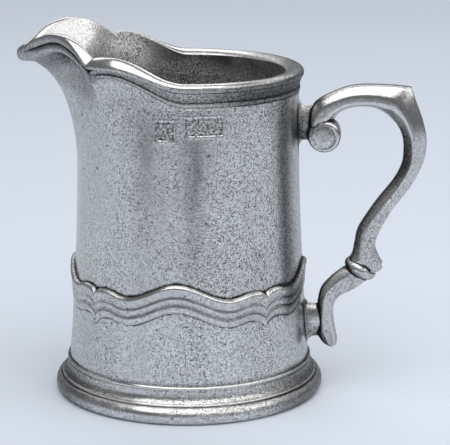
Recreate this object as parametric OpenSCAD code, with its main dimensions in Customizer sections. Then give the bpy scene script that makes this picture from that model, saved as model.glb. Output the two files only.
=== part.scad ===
// Small cast and soldered pewter creamer with a scalloped belt, a beaked spout and a double-scroll handle.
// Millimetres. The origin is the centre of the foot on the table, +Z is up,
// the spout points along -X and the handle along +X.

/* [Wall] */
// Outer radius of the drum just under the rim
wall_top_r = 29.2; // [26:0.1:33]
// Outer radius of the drum where it enters the foot
wall_foot_r = 32.1; // [30:0.1:35]
// Thickness of the drum, the spout and the rim casting
wall_t = 2.2; // [1.4:0.1:3]
// Height of the level part of the rim
rim_h = 87.4; // [80:0.1:100]

/* [Foot] */
// Height of the foot moulding
foot_h = 10.4; // [9:0.1:12]
// How far the foot stands out beyond the drum
foot_flare = 3.9; // [3:0.1:6]
// Height of the ledge that carries the drum and the base disc
ledge_h = 3.4; // [2.6:0.1:4.2]
// Width of the ledge inside the drum
ledge_w = 2.6; // [1.5:0.1:5]
// Thickness of the base disc
disc_t = 2; // [1.4:0.1:3]
// Leg of the solder fillet round the floor
solder_leg = 1.4; // [0.8:0.1:2.4]

/* [Rim and spout] */
// How far the rim's lip stands out beyond the drum
lip_out = 1.3; // [0.8:0.1:2.4]
// Height of the level rim moulding
rim_band_h = 6.2; // [5:0.1:8]
// Rise of the rim's shoulders above its level part
shoulder_rise = 5.7; // [2:0.1:8]
// Turn of the rim's shoulders towards the front, against the spout
rim_skew = 4.5; // [-6:0.5:6]
// Angle from the spout's centre line to each notch in the rim
notch_angle = 44; // [35:1:55]
// How far the lip stands out beyond the drum at the notches
notch_out = 3.8; // [2.5:0.1:5]
// How far the beak's sharp point lies in front of the drum
beak_out = 17.8; // [12:0.1:24]
// Height of the beak's side crests above the level rim
crest_rise = 10.3; // [7:0.1:13]
// How much lower the front crest of the beak is than the back one
crest_lean = 0.8; // [-2:0.1:2]
// Height of the beak's tip above the level rim
tip_rise = 4.2; // [1:0.1:6]
// Height of the moulding along the beak
beak_band_h = 4.8; // [3.5:0.1:6]
// Height of the lowest point of the spout casting below the level rim
spout_drop = 27.4; // [20:0.1:34]

/* [Belt] */
// Height of the belt's crests above the table
belt_z = 36.15; // [30:0.1:44]
// Height of the belt at its crests
belt_h = 7.6; // [6:0.1:10]
// How far the belt's top ridge stands out
belt_relief = 1.25; // [0.6:0.05:2]
// Number of scalloped panels round the belt
belt_panels = 4; // [3:1:6]
// Depth from a crest of the belt's edge to its dips
belt_wave = 4.2; // [2:0.1:6]

/* [Handle] */
// Drop from the level rim to the centre of the upper strut
upper_strut_drop = 14.8; // [13:0.1:20]
// Height of the centre of the lower strut
lower_strut_z = 18.8; // [17:0.1:22]
// Gap between the drum and the back of the handle at each strut
strut_l = 2.4; // [2:0.1:4]
// Height of each strut at its waist
strut_h = 9.1; // [7:0.1:9.6]
// Width of each strut at its waist
strut_w = 4.2; // [3:0.1:5]
// Half the width of the handle across its flat cheeks
cheek_w = 3.5; // [2.8:0.1:4.5]
// Radius of the volute at the top of the handle
volute_r = 4.3; // [3.4:0.1:5]
// Radius of the raised eye on each side of the volute
eye_r = 2.7; // [1.8:0.1:3.2]
// Radius of the collar between the two scrolls
collar_r = 3.7; // [3.2:0.1:4.4]
// Length of the collar along the handle
collar_l = 2.4; // [1.6:0.1:3.2]
// Radius of the peg at each end of the collar
peg_r = 1.3; // [0.8:0.1:1.6]
// Length of each peg
peg_l = 2.2; // [1:0.1:3]

/* [Hidden] */
$fn = 128;
pewter = "#a9acb0";
solder_gap = 0.05;    // thickness of the solder film between curved faces

// Shared shapes and curves

function mix(a, b, k) = a + (b - a) * k;
function unit(x) = min(1, max(0, x));
function smooth(x) = let (c = unit(x)) c * c * (3 - 2 * c);
function arc(cx, cy, r, from, to, steps = 8) =
    [for (i = [0 : steps]) let (a = mix(from, to, i / steps)) [cx + r * cos(a), cy + r * sin(a)]];

// Smooth curve through the points p, with the given number of steps between two of them
function spline(p, steps) = [
    for (i = [0 : len(p) - 2], k = [0 : steps - 1])
        let (a = p[max(i - 1, 0)], b = p[i], c = p[i + 1], d = p[min(i + 2, len(p) - 1)], u = k / steps)
            b + 0.5 * u * ((c - a) + u * ((2 * a - 5 * b + 4 * c - d) + u * (3 * (b - c) + d - a))),
    p[len(p) - 1]
];

// Solid through a list of rings with equal numbers of points. It is closed into a loop,
// or capped flat at its ends, or capped by fans round the two points in tips where the ends are curved.
module skin(rings, loop = false, tips = []) {
    n = len(rings[0]);
    m = len(rings);
    last = (m - 1) * n;
    function at(i, j) = i % m * n + j % n;
    sides = [
        for (i = [0 : m - (loop ? 1 : 2)], j = [0 : n - 1])
            each [[at(i, j), at(i, j + 1), at(i + 1, j + 1)], [at(i, j), at(i + 1, j + 1), at(i + 1, j)]]
    ];
    flats = [[for (j = [n - 1 : -1 : 0]) j], [for (j = [0 : n - 1]) last + j]];
    fans = [
        for (j = [0 : n - 1])
            each [[m * n, at(0, j + 1), j], [m * n + 1, last + j, last + (j + 1) % n]]
    ];
    caps = loop ? [] : len(tips) == 2 ? fans : flats;
    polyhedron(concat([for (r = rings) each r], tips), concat(sides, caps), convexity = 8);
}

// Drum: it is straight under the rim and flares gently into the foot

seat_margin = 0.6;                            // plain stretch of the rim casting below its moulding
seat_z = rim_h - rim_band_h - seat_margin;    // top of the drum, where the rim casting sits
function wall_r(z) =
    wall_top_r + (wall_foot_r - wall_top_r) * pow(max(0, seat_z - z) / (seat_z - foot_h), 2);
function wall_line(r_off, from, to, steps) =
    [for (i = [0 : steps]) let (z = mix(from, to, i / steps)) [wall_r(z) + r_off, z]];

// The spout's casting sits in a V cut in the drum, with its point at the bottom
root_z = rim_h - spout_drop;
notch_y = wall_top_r * sin(notch_angle);
seam_slope = (seat_z - root_z) / notch_y;

module drum_wall() {
    steps = 20;
    color(pewter)
    difference() {
        rotate_extrude()
            polygon(concat(wall_line(0, ledge_h, seat_z, steps), wall_line(-wall_t, seat_z, ledge_h, steps)));
        rotate([90, 0, -90])
            linear_extrude(wall_foot_r + 1)
                polygon([[0, root_z], [notch_y * 2, root_z + seam_slope * notch_y * 2],
                         [-notch_y * 2, root_z + seam_slope * notch_y * 2]]);
    }
}

// Floor: a disc on the foot's ledge inside the drum, sealed by a run of solder

disc_top = ledge_h + disc_t;
floor_r = wall_r(disc_top) - wall_t;

module base_disc() {
    color(pewter)
        translate([0, 0, ledge_h])
            cylinder(r = floor_r - solder_gap, h = disc_t);
}

module floor_solder() {
    top_z = disc_top + solder_leg;
    top_r = wall_r(top_z) - wall_t - solder_gap;
    color("#b9bbbd")
        rotate_extrude()
            polygon(concat([[floor_r - solder_gap, disc_top]],
                           arc(top_r - solder_leg, top_z, solder_leg, 0, -90, 6)));
}

// Foot: a bead, a cove, an ovolo, a groove and a broad torus, over a ledge that carries the drum

foot_r = wall_foot_r + foot_flare;
bead_r = 0.55;
torus_h = 4.7;
torus_r = 2.6;
torus_z = 2.1;
groove_d = 0.35;
rest_w = 4.4;         // width of the ring that stands on the table
rest_round = 1.1;     // how far that ring lies inside the foot's widest line
rest_in = foot_r - rest_round - rest_w;
recess_h = 0.9;       // depth of the hollow under the foot
ovolo_r = 0.7;

module foot_ring() {
    seat = wall_r(foot_h) + solder_gap;
    bead_x = seat + 0.1;
    cove_x = bead_x + bead_r - 0.15;
    ovolo_x = foot_r - 1.7;
    ovolo_z = torus_h + 0.9;
    outer = concat(
        [[seat, foot_h]],
        arc(bead_x, foot_h - bead_r, bead_r, 90, -50, 8),
        [for (i = [0 : 6]) let (u = i / 6)
            [mix(cove_x, ovolo_x - 0.2, 0.55 * u * u + 0.45 * u), mix(foot_h - 1.3, ovolo_z + 0.6, u)]],
        arc(ovolo_x + 0.1 - ovolo_r, ovolo_z, ovolo_r, 30, -55, 6),
        [[ovolo_x - groove_d, torus_h]],
        arc(foot_r - torus_r, torus_z, torus_r, 70, -40, 12),
        [[foot_r - rest_round, 0], [rest_in, 0]]);
    inner = concat(
        [[rest_in - recess_h, recess_h], [floor_r - ledge_w, recess_h], [floor_r - ledge_w, ledge_h]],
        wall_line(solder_gap, ledge_h, foot_h - 1, 4));
    color(pewter)
        rotate_extrude()
            polygon(concat(outer, inner));
}

// Belt: equal panels, each with a broad crest between two dips, meeting in pointed cusps

panel_a = 360 / belt_panels;
belt_cols = 40;
front_a = 270;                  // direction of the panel that faces the front
crest_a = panel_a * 0.29;       // half the angle of the broad crest
hump_a = panel_a * 0.43;        // angle from the crest to the small hump beside the cusp
hump_h = 1.1;                   // rise of the small hump above the dip
cusp_d = 1.45;                  // drop from the small hump into the cusp
point_a = hump_a * 0.86;        // angle from the crest where the lower lines begin to dive
point_d = 1.4;                  // depth of the point under each cusp

function edge_wave(a) =
    a < crest_a ? belt_wave / 2 * (cos(a * 180 / crest_a) - 1)
    : a < hump_a ? -belt_wave + hump_h / 2 * (1 - cos((a - crest_a) * 180 / (hump_a - crest_a)))
    : -belt_wave + hump_h - cusp_d * (1 - sqrt(max(0, 1 - pow((a - hump_a) / (panel_a / 2 - hump_a), 2))));
// The lower lines of the belt follow its top edge and dive into a point under each cusp
function belt_drop(a) = belt_h + point_d * pow(max(0, a - point_a) / (panel_a / 2 - point_a), 2);

// Rows of the belt's section: share of its height, share of its relief
belt_rows = [[0, 0.02], [0.04, 0.62], [0.12, 1], [0.22, 0.94], [0.32, 0.72], [0.52, 0.62], [0.58, 0.34],
             [0.66, 0.38], [0.93, 0.3], [1, 0.02]];

function belt_ring(turn) =
    let (a = abs(turn % panel_a - panel_a / 2), top = belt_z + edge_wave(a), drop = belt_drop(a))
    [for (row = concat(belt_rows, [[1, 0], [0.5, 0], [0, 0]]))
        let (z = top - drop * row[0], r = wall_r(z) + solder_gap + belt_relief * row[1])
            [r * cos(turn), r * sin(turn), z]];

module belt() {
    count = belt_panels * belt_cols;
    color(pewter)
        rotate(front_a - panel_a / 2)
            skin([for (i = [count : -1 : 1]) belt_ring(i * 360 / count)], loop = true);
}

// Mouth: one family of sections from the level rim, through the shoulders and the notches, to the beak

level_angle = 90;          // angle from the spout where the rim's rise begins
shoulder_angle = 52;       // angle from the spout where the shoulder is highest
flare_angle = 80;          // angle from the spout where the lip begins to flare towards the notch
notch_dip = 0.9;           // depth of the notch below the shoulder
notch_z = rim_h + shoulder_rise - notch_dip;
bead_share = 0.45;         // place where the beak's moulding has become one round bead
crest_share = 0.43;        // place of the beak's crest between a notch and the point
crest_shift = 0.04;        // how much nearer the notch the front crest lies
tip_round = 0.07;          // rounding of the beak's point, as a share of its half-width
beak_x = wall_top_r + beak_out;
lip_r = wall_top_r + lip_out;
notch_r = wall_top_r + notch_out;

// Angle on an even rim that has the same height as the angle t on the front (side 1) or the back (side -1)
function even_angle(t, side) =
    let (peak = shoulder_angle + side * rim_skew)
    t > peak ? t - side * rim_skew
             : mix(notch_angle, shoulder_angle, (t - notch_angle) / (peak - notch_angle));
function rim_lip_z(t) = t > shoulder_angle
    ? rim_h + shoulder_rise * smooth((level_angle - t) / (level_angle - shoulder_angle))
    : notch_z + notch_dip * sqrt(max(0, 1 - pow((shoulder_angle - t) / (shoulder_angle - notch_angle), 2)));
function rim_lip_r(t) = mix(lip_r, notch_r, smooth((flare_angle - t) / (flare_angle - notch_angle)));
// The moulding is a little lower on the shoulders than on the level rim
function rim_band_at(t) =
    mix(rim_band_h, beak_band_h, smooth((level_angle - t) / (level_angle - shoulder_angle)));

// Share of the way from a notch (0) to the beak's sharp point (1), for a place across the beak from -1 to 1
function beak_share(s) = 1 - sqrt(s * s + tip_round * tip_round) / sqrt(1 + tip_round * tip_round);
function beak_lip(s) =
    let (q = beak_share(s), nx = notch_r * cos(notch_angle), ny = notch_r * sin(notch_angle))
    [-mix(nx, beak_x, q), -ny * s];
function beak_lip_z(s) =
    let (
        q = beak_share(s),
        front = max(-1, min(1, 3 * s)),
        top_q = crest_share - crest_shift * front,
        crest = rim_h + crest_rise - crest_lean / 2 * front,
        tip = rim_h + tip_rise
    )
    q < top_q ? mix(notch_z, crest, sin(90 * q / top_q))
              : mix(tip, crest, pow(cos(90 * (q - top_q) / (1 - top_q)), 1.5));

// Flare of the funnel from the seam (0) to the moulding (1), and its slope
function flare(v) = 0.62 * v * v + 0.38 * pow(v, 8);
function flare_slope(v) = 1.24 * v + 3.04 * pow(v, 7);

// Moulding rows from its lower edge to the inside of the lip: outward place from the lip, share of height.
// The rim's moulding has a thin ridge and a flared lip, the beak's is one round bead.
rim_rows = [[-1.15, 0], [-1.0, 0.1], [-1.0, 0.22], [-0.75, 0.45], [-0.2, 0.74], [0, 0.86], [-0.5, 0.96],
            [-1.6, 1], [-2.4, 0.95]];
beak_rows = [[-2.1, 0], [-1.1, 0.05], [-0.3, 0.2], [0, 0.46], [-0.1, 0.7], [-0.4, 0.87], [-0.9, 0.97],
             [-1.6, 1], [-2.5, 0.95]];
beak_step = 2.8;           // depth of the flat underside of the beak's moulding at its tip
funnel_rows = 8;
inner_top = 0.96;          // how far up the funnel its inner face runs before the lip turns in

// One closed section of the mouth: the seam and lip places in plan, the seam's heights outside and inside,
// the lip's height, the moulding's height and the beak's share of its shape
function mouth_ring(seam, lip, inner_share, z0, z0_in, zl, band_h, beak) =
    let (
        reach = norm(lip - seam),
        out = (lip - seam) / reach,
        rows = [for (i = [0 : len(rim_rows) - 1]) mix(rim_rows[i], beak_rows[i], beak)],
        under = reach + rows[0][0] - beak_step * beak * beak,
        zb = zl - band_h,
        outer = [for (i = [0 : funnel_rows]) let (v = i / funnel_rows)
            [under * flare(v), mix(z0, zb, v)]],
        band = [for (r = rows) [reach + r[0], zb + band_h * r[1]]],
        rise = zb - z0,
        inner = [for (i = [funnel_rows : -1 : 1])
            let (
                v = inner_top * i / funnel_rows,
                run = under * flare_slope(v),
                in = wall_t / norm([run, rise])
            )
            [under * flare(v) - in * rise, mix(z0, zb, v) + in * run + (z0_in - z0) * (1 - v)]],
        face = [for (p = concat(outer, band, inner)) let (xy = seam + out * p[0]) [xy[0], xy[1], p[1]]]
    )
    concat(face, [[seam[0] * inner_share[0], seam[1] * inner_share[1], z0_in]]);

function rim_ring(t) =
    let (
        dir = [-cos(t), -sin(t)],
        at = t > 180 ? 360 - t : t,
        even = even_angle(at, t > 180 ? -1 : 1),
        in = (wall_top_r - wall_t) / wall_top_r
    )
    mouth_ring(dir * wall_top_r, dir * rim_lip_r(at), [in, in], seat_z, seat_z,
               rim_lip_z(even), rim_band_at(even), 0);

function spout_ring(s) =
    let (
        y = notch_y * s,
        z0 = root_z + solder_gap + seam_slope * abs(y),
        x = sqrt(pow(wall_r(z0), 2) - y * y),
        in = (wall_top_r - wall_t) / wall_top_r,
        y_in = y * in,
        z0_in = root_z + solder_gap + seam_slope * abs(y_in),
        x_in = sqrt(pow(wall_r(z0_in) - wall_t, 2) - y_in * y_in)
    )
    mouth_ring([-x, -y], beak_lip(s), [x_in / x, in],
               min(z0, seat_z), abs(s) == 1 ? seat_z : min(z0_in, seat_z),
               beak_lip_z(s), beak_band_h, smooth(beak_share(s) / bead_share));

module rim_band() {
    steps = 96;
    color(pewter)
        skin([for (i = [0 : steps]) rim_ring(mix(notch_angle, 360 - notch_angle, i / steps))]);
}

module spout() {
    steps = 48;
    color(pewter)
        skin([for (i = [0 : steps]) spout_ring(mix(-1, 1, i / steps))]);
}

// Handle: its outline is drawn out from the drum and up from the lower strut,
// both in hundredths of the spacing of the struts

upper_strut_z = rim_h - upper_strut_drop;
strut_span = upper_strut_z - lower_strut_z;
function place(p) =
    let (k = p[1] / 100, foot = wall_r(lower_strut_z), head = wall_r(upper_strut_z))
    [mix(foot, head, k) + strut_l + strut_span * p[0] / 100, lower_strut_z + strut_span * k];

// Stations of a scroll: back edge [out, up], belly edge [out, up], then the section's shares:
// cheek width, back width, belly width, start and end of the flat cheek
grip_stations = [
    [[0.3, 94.4], [8.1, 94.4], 1, 0.66, 0.6, 0.3, 0.7],
    [[0.4, 101.9], [10, 99.6], 1, 0.66, 0.6, 0.25, 0.7],
    [[3.3, 109.6], [13.2, 103], 1, 0.68, 0.6, 0.2, 0.66],
    [[11.7, 115], [16.9, 106.5], 1, 0.72, 0.6, 0.14, 0.6],
    [[22.9, 118.9], [23.7, 108.7], 1, 0.76, 0.6, 0.12, 0.56],
    [[35.7, 119.4], [32, 108.5], 1, 0.8, 0.6, 0.14, 0.54],
    [[49.4, 118.5], [38.5, 105.4], 1, 0.76, 0.5, 0.24, 0.5],
    [[50.9, 117], [40, 104.1], 1, 0.74, 0.5, 0.26, 0.5],
    [[52.8, 111.7], [43.3, 100.2], 1, 0.62, 0.4, 0.32, 0.5],
    [[56.3, 101.3], [45.5, 95.4], 1, 0.5, 0.36, 0.36, 0.5],
    [[57.6, 91.7], [46.3, 88.9], 1, 0.44, 0.34, 0.4, 0.48],
    [[55.6, 81.1], [45.2, 80.7], 0.98, 0.44, 0.34, 0.4, 0.46],
    [[49.8, 70], [40.7, 72.2], 0.95, 0.5, 0.34, 0.36, 0.46],
    [[39.6, 56.7], [31.6, 60.7], 0.92, 0.6, 0.36, 0.3, 0.42],
    [[33.3, 45.9], [23.2, 48.1], 0.92, 0.7, 0.4, 0.24, 0.42],
    [[31.2, 38.5], [21.2, 40.7], 0.96, 0.8, 0.5, 0.22, 0.5],
    [[33.1, 32.2], [20.3, 36.1], 1, 0.86, 0.6, 0.22, 0.6],
    [[34.8, 28.7], [19.7, 34.3], 1.02, 0.86, 0.6, 0.22, 0.66],
    [[30.9, 25.6], [18.8, 32.6], 0.98, 0.7, 0.6, 0.26, 0.7]
];
tail_stations = [
    [[20.3, 16.9], [13.6, 25.9], 0.82, 0.6, 0.6, 0.3, 0.66],
    [[13.2, 13.1], [8, 21.3], 0.8, 0.54, 0.7, 0.34, 0.6],
    [[10.2, 8.9], [3.7, 16.1], 0.8, 0.5, 0.8, 0.34, 0.56],
    [[9.5, 3.5], [1.9, 9.1], 0.82, 0.5, 0.8, 0.34, 0.56],
    [[9.7, -1.1], [1.1, 0.7], 0.82, 0.5, 0.8, 0.34, 0.56],
    [[10.4, -6.1], [1.3, -6.3], 0.82, 0.5, 0.8, 0.34, 0.56],
    [[11.1, -10.4], [4.1, -11.5], 0.7, 0.5, 0.6, 0.36, 0.56],
    [[10.3, -13], [7.7, -13.9], 0.34, 0.5, 0.6, 0.36, 0.56]
];

// The same stations in place, as flat rows
function placed(list) = [for (s = list) [each place(s[0]), each place(s[1]), s[2], s[3], s[4], s[5], s[6]]];
grip_rows = spline(placed(grip_stations), 4);

// Collar: it sits square on the end face of the grip
grip_end = grip_rows[len(grip_rows) - 1];
collar_hi = [grip_end[0] + grip_end[2], grip_end[1] + grip_end[3]] / 2;
collar_tilt = atan2(grip_end[1] - grip_end[3], grip_end[0] - grip_end[2]);
collar_lo = collar_hi - collar_l * [-sin(collar_tilt), cos(collar_tilt)];
neck = (collar_r - 0.5) * [cos(collar_tilt), sin(collar_tilt)];
tail_rows = spline(concat([[each (collar_lo + neck), each (collar_lo - neck), 0.88, 0.66, 0.6, 0.28, 0.7]],
                          placed(tail_stations)), 4);

// One eight-sided section between a back point and a belly point
function handle_ring(row) =
    let (
        back = [row[0], row[1]], belly = [row[2], row[3]],
        w = cheek_w * row[4], wb = w * row[5], wi = w * row[6], lo = row[7], hi = row[8],
        outline = [[-wi, 0], [-w, lo], [-w, hi], [-wb, 1], [wb, 1], [w, hi], [w, lo], [wi, 0]]
    )
    [for (o = outline) let (p = mix(belly, back, o[1])) [p[0], o[0], p[1]]];

module peg(extra, from, to) {
    translate([collar_hi[0], 0, collar_hi[1]])
        rotate([0, -collar_tilt, 0])
            translate([0, 0, from])
                cylinder(r = peg_r + extra, h = to - from);
}

volute_c = place([0, grip_stations[0][0][1]]) + [volute_r, 0];
volute_proud = 0.15;   // how far the volute stands out from the cheeks
eye_proud = 0.5;       // how far its eye stands out from the cheeks

module handle_grip() {
    color(pewter)
        difference() {
            union() {
                skin([for (r = grip_rows) handle_ring(r)]);
                translate([volute_c[0], 0, volute_c[1]])
                    rotate([90, 0, 0]) {
                        cylinder(r = volute_r, h = 2 * (cheek_w + volute_proud), center = true);
                        cylinder(r = eye_r, h = 2 * (cheek_w + eye_proud), center = true);
                    }
            }
            peg(solder_gap, -1, peg_l + solder_gap);
        }
}

module handle_collar() {
    color(pewter) {
        translate([collar_hi[0], 0, collar_hi[1]])
            rotate([0, -collar_tilt, 0])
                translate([0, 0, -collar_l])
                    rotate_extrude()
                        polygon(concat([[0, 0]],
                                       arc(collar_r - collar_l / 2, collar_l / 2, collar_l / 2, -90, 90, 12),
                                       [[0, collar_l]]));
        peg(0, -collar_l - peg_l, peg_l);
    }
}

module handle_tail() {
    color(pewter)
        difference() {
            skin([for (r = tail_rows) handle_ring(r)]);
            peg(solder_gap, -collar_l - peg_l - solder_gap, 1 - collar_l);
        }
}

// Struts: oblong necks, flared at both ends, from the drum to the face of the handle

drum_swell = 0.35;     // how much wider a strut is on the drum than at its waist
grip_swell = 0.05;     // how much wider it is on the handle
grip_back = [for (i = [0 : 12]) [grip_rows[i][1], grip_rows[i][0]]];
tail_belly = [for (r = tail_rows) [r[3], r[2]]];
function grip_face(z) = z > volute_c[1] ? lookup(z, grip_back)
    : volute_c[0] - sqrt(max(0, volute_r * volute_r - pow(z - volute_c[1], 2)));
function tail_face(z) = lookup(z, tail_belly);

function strut_ring(z, upper, k, turns = 24) =
    let (swell = 1 + (k < 0.5 ? drum_swell : grip_swell) * pow(1 - 2 * k, 2))
    [for (i = [0 : turns - 1])
        let (
            a = -360 * i / turns,
            y = strut_w / 2 * swell * cos(a),
            at = z + strut_h / 2 * swell * sin(a),
            from = sqrt(pow(wall_r(at) + solder_gap, 2) - y * y),
            to = (upper ? grip_face(at) : tail_face(at)) - solder_gap
        )
        [mix(from, to, k), y, at]];

module strut(z, upper) {
    steps = 8;
    face = upper ? grip_face(z) : tail_face(z);
    color(pewter)
        skin([for (i = [0 : steps]) strut_ring(z, upper, i / steps)],
             tips = [[wall_r(z) + solder_gap, 0, z], [face - solder_gap, 0, z]]);
}

module upper_strut() { strut(upper_strut_z, true); }
module lower_strut() { strut(lower_strut_z, false); }

drum_wall();
base_disc();
foot_ring();
floor_solder();
belt();
rim_band();
spout();
upper_strut();
lower_strut();
handle_grip();
handle_collar();
handle_tail();
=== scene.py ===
import math

import bpy
import numpy as np
from bpy.props import FloatProperty, FloatVectorProperty, IntProperty, PointerProperty
from bpy.types import Operator, Panel, PropertyGroup
from mathutils import Matrix, Vector, noise
from mathutils.bvhtree import BVHTree


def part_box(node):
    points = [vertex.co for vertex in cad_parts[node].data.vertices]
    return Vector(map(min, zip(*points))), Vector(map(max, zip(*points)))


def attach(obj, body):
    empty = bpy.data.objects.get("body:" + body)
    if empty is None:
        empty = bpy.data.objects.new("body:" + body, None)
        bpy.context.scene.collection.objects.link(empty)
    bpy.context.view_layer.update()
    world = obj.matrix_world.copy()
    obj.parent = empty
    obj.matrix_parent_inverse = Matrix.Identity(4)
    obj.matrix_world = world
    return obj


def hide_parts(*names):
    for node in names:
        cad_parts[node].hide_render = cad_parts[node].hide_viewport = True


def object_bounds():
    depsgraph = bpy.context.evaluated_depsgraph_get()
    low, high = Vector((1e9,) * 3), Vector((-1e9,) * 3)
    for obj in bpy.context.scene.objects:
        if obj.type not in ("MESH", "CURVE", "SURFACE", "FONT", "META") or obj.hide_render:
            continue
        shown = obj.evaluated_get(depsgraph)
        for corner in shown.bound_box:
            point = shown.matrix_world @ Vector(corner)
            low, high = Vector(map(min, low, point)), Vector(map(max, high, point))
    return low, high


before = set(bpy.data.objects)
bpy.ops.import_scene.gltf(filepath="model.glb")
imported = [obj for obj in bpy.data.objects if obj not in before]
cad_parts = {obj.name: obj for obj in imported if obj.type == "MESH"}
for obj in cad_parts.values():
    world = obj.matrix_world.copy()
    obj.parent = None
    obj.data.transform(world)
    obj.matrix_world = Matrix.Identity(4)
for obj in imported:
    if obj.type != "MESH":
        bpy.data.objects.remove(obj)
CAD_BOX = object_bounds()

bl_info = {
    "name": "Pewter Creamer",
    "version": (1, 0, 0),
    "blender": (4, 5, 0),
    "location": "View3D > Sidebar > Creamer",
    "description": "Builds a cast pewter creamer with a scalloped belt, a beaked spout and a scrolled handle",
    "category": "Object",
}

_, FOOT_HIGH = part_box("foot_ring")
UPPER_LOW, UPPER_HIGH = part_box("upper_strut")
LOWER_LOW, LOWER_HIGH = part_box("lower_strut")
TO_MM, TO_METRES = 1000, 0.001
TINY = 1e-9          # keeps a division from having nothing under it
WELD = 1e-6          # points closer than this are merged, in metres


# Sizes and finishes

def length(name, description, default):
    """Size in metres."""
    return FloatProperty(name=name, description=description, default=default, min=0.0,
                         precision=5, subtype="DISTANCE", unit="LENGTH")


def angle(name, description, degrees):
    """Angle, given in degrees."""
    return FloatProperty(name=name, description=description, default=math.radians(degrees),
                         subtype="ANGLE", unit="ROTATION")


def share(name, description, default):
    """Share between 0 and 1."""
    return FloatProperty(name=name, description=description, default=default, min=0.0, max=1.0,
                         subtype="FACTOR")


def colour(name, description, default):
    """Colour as linear red, green and blue."""
    return FloatVectorProperty(name=name, description=description, default=default, size=3,
                               min=0.0, max=1.0, subtype="COLOR")


class CreamerSizes(PropertyGroup):
    wall_top_r: length("Wall radius, top", "Outer radius of the drum under the rim", 0.0292)
    wall_foot_r: length("Wall radius, foot", "Outer radius of the drum where it enters the foot", 0.0321)
    wall_t: length("Wall thickness", "Thickness of the drum, the spout and the rim casting", 0.0022)
    rim_h: length("Rim height", "Height of the level part of the rim", 0.0874)
    foot_r: length("Foot radius", "Largest radius of the foot", FOOT_HIGH.x)
    foot_h: length("Foot height", "Height of the foot moulding", FOOT_HIGH.z)
    ledge_h: length("Ledge height", "Height of the ledge that carries the drum and the floor", 0.0034)
    ledge_w: length("Ledge width", "Width of that ledge inside the drum", 0.0026)
    disc_t: length("Floor thickness", "Thickness of the base disc", 0.002)
    solder_leg: length("Solder leg", "Leg of the solder fillet round the floor", 0.0014)
    lip_out: length("Lip overhang", "How far the rim's lip stands out beyond the drum", 0.0013)
    rim_band_h: length("Rim moulding", "Height of the level rim moulding", 0.0062)
    shoulder_rise: length("Shoulder rise", "Rise of the rim's shoulders beside the spout", 0.0057)
    rim_skew: angle("Rim turn", "Turn of the rim's shoulders towards the front", 4.5)
    notch_angle: angle("Notch angle", "Angle from the spout's middle to each notch in the rim", 44.0)
    notch_out: length("Notch overhang", "How far the lip stands out beyond the drum at the notches", 0.0038)
    beak_out: length("Beak reach", "How far the beak's point lies in front of the drum", 0.0178)
    crest_rise: length("Crest rise", "Height of the beak's side crests above the level rim", 0.0103)
    crest_lean: length("Crest lean", "How much lower the front crest is than the back one", 0.0008)
    tip_rise: length("Tip rise", "Height of the beak's tip above the level rim", 0.0042)
    beak_band_h: length("Beak moulding", "Height of the moulding along the beak", 0.0048)
    spout_drop: length("Spout drop", "How far the spout's root lies below the level rim", 0.0274)
    belt_z: length("Belt height", "Height of the belt's crests above the table", 0.03615)
    belt_h: length("Belt width", "Height of the belt at its crests", 0.0076)
    belt_relief: length("Belt relief", "How far the belt's top ridge stands out", 0.00125)
    belt_wave: length("Belt wave", "Depth from a crest of the belt's edge to its dips", 0.0042)
    belt_panels: IntProperty(name="Belt panels", description="Scalloped panels round the belt",
                             default=4, min=3, max=6)
    upper_strut_z: length("Upper strut", "Height of the middle of the upper strut",
                          (UPPER_LOW.z + UPPER_HIGH.z) / 2)
    lower_strut_z: length("Lower strut", "Height of the middle of the lower strut",
                          (LOWER_LOW.z + LOWER_HIGH.z) / 2)
    strut_l: length("Strut length", "Gap between the drum and the handle at each strut", 0.0024)
    strut_h: length("Strut height", "Height of each strut at its waist", 0.0091)
    strut_w: length("Strut width", "Width of each strut at its waist", 0.0042)
    cheek_w: length("Handle half-width", "Half the width of the handle across its cheeks", 0.0035)
    volute_r: length("Volute radius", "Radius of the volute at the top of the handle", 0.0043)
    eye_r: length("Eye radius", "Radius of the raised eye in the volute", 0.0026)
    collar_r: length("Collar radius", "Radius of the collar between the two scrolls", 0.0045)
    collar_l: length("Collar length", "Length of the collar along the handle", 0.0024)


class CreamerFinish(PropertyGroup):
    pewter: colour("Pewter", "Plain cast pewter", (0.66, 0.65, 0.635))
    bright: colour("Bright metal", "Pewter rubbed bright on the edges", (0.86, 0.85, 0.83))
    # colour of the patina, also used for the painted shade and painted dark reflections
    patina: colour("Patina", "Dark patina in the hollows and pits", (0.035, 0.035, 0.037))
    solder: colour("Solder", "Run of solder round the floor", (0.42, 0.42, 0.43))
    pitting: share("Pitting", "How many pits the casting has", 0.5)
    ageing: share("Ageing", "How much patina has stayed in the hollows", 0.6)
    floor_near: colour("Floor, near", "Pale table in front", (0.78, 0.835, 0.915))
    floor_far: colour("Floor, far", "Pale table at the back", (0.585, 0.632, 0.703))


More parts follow.
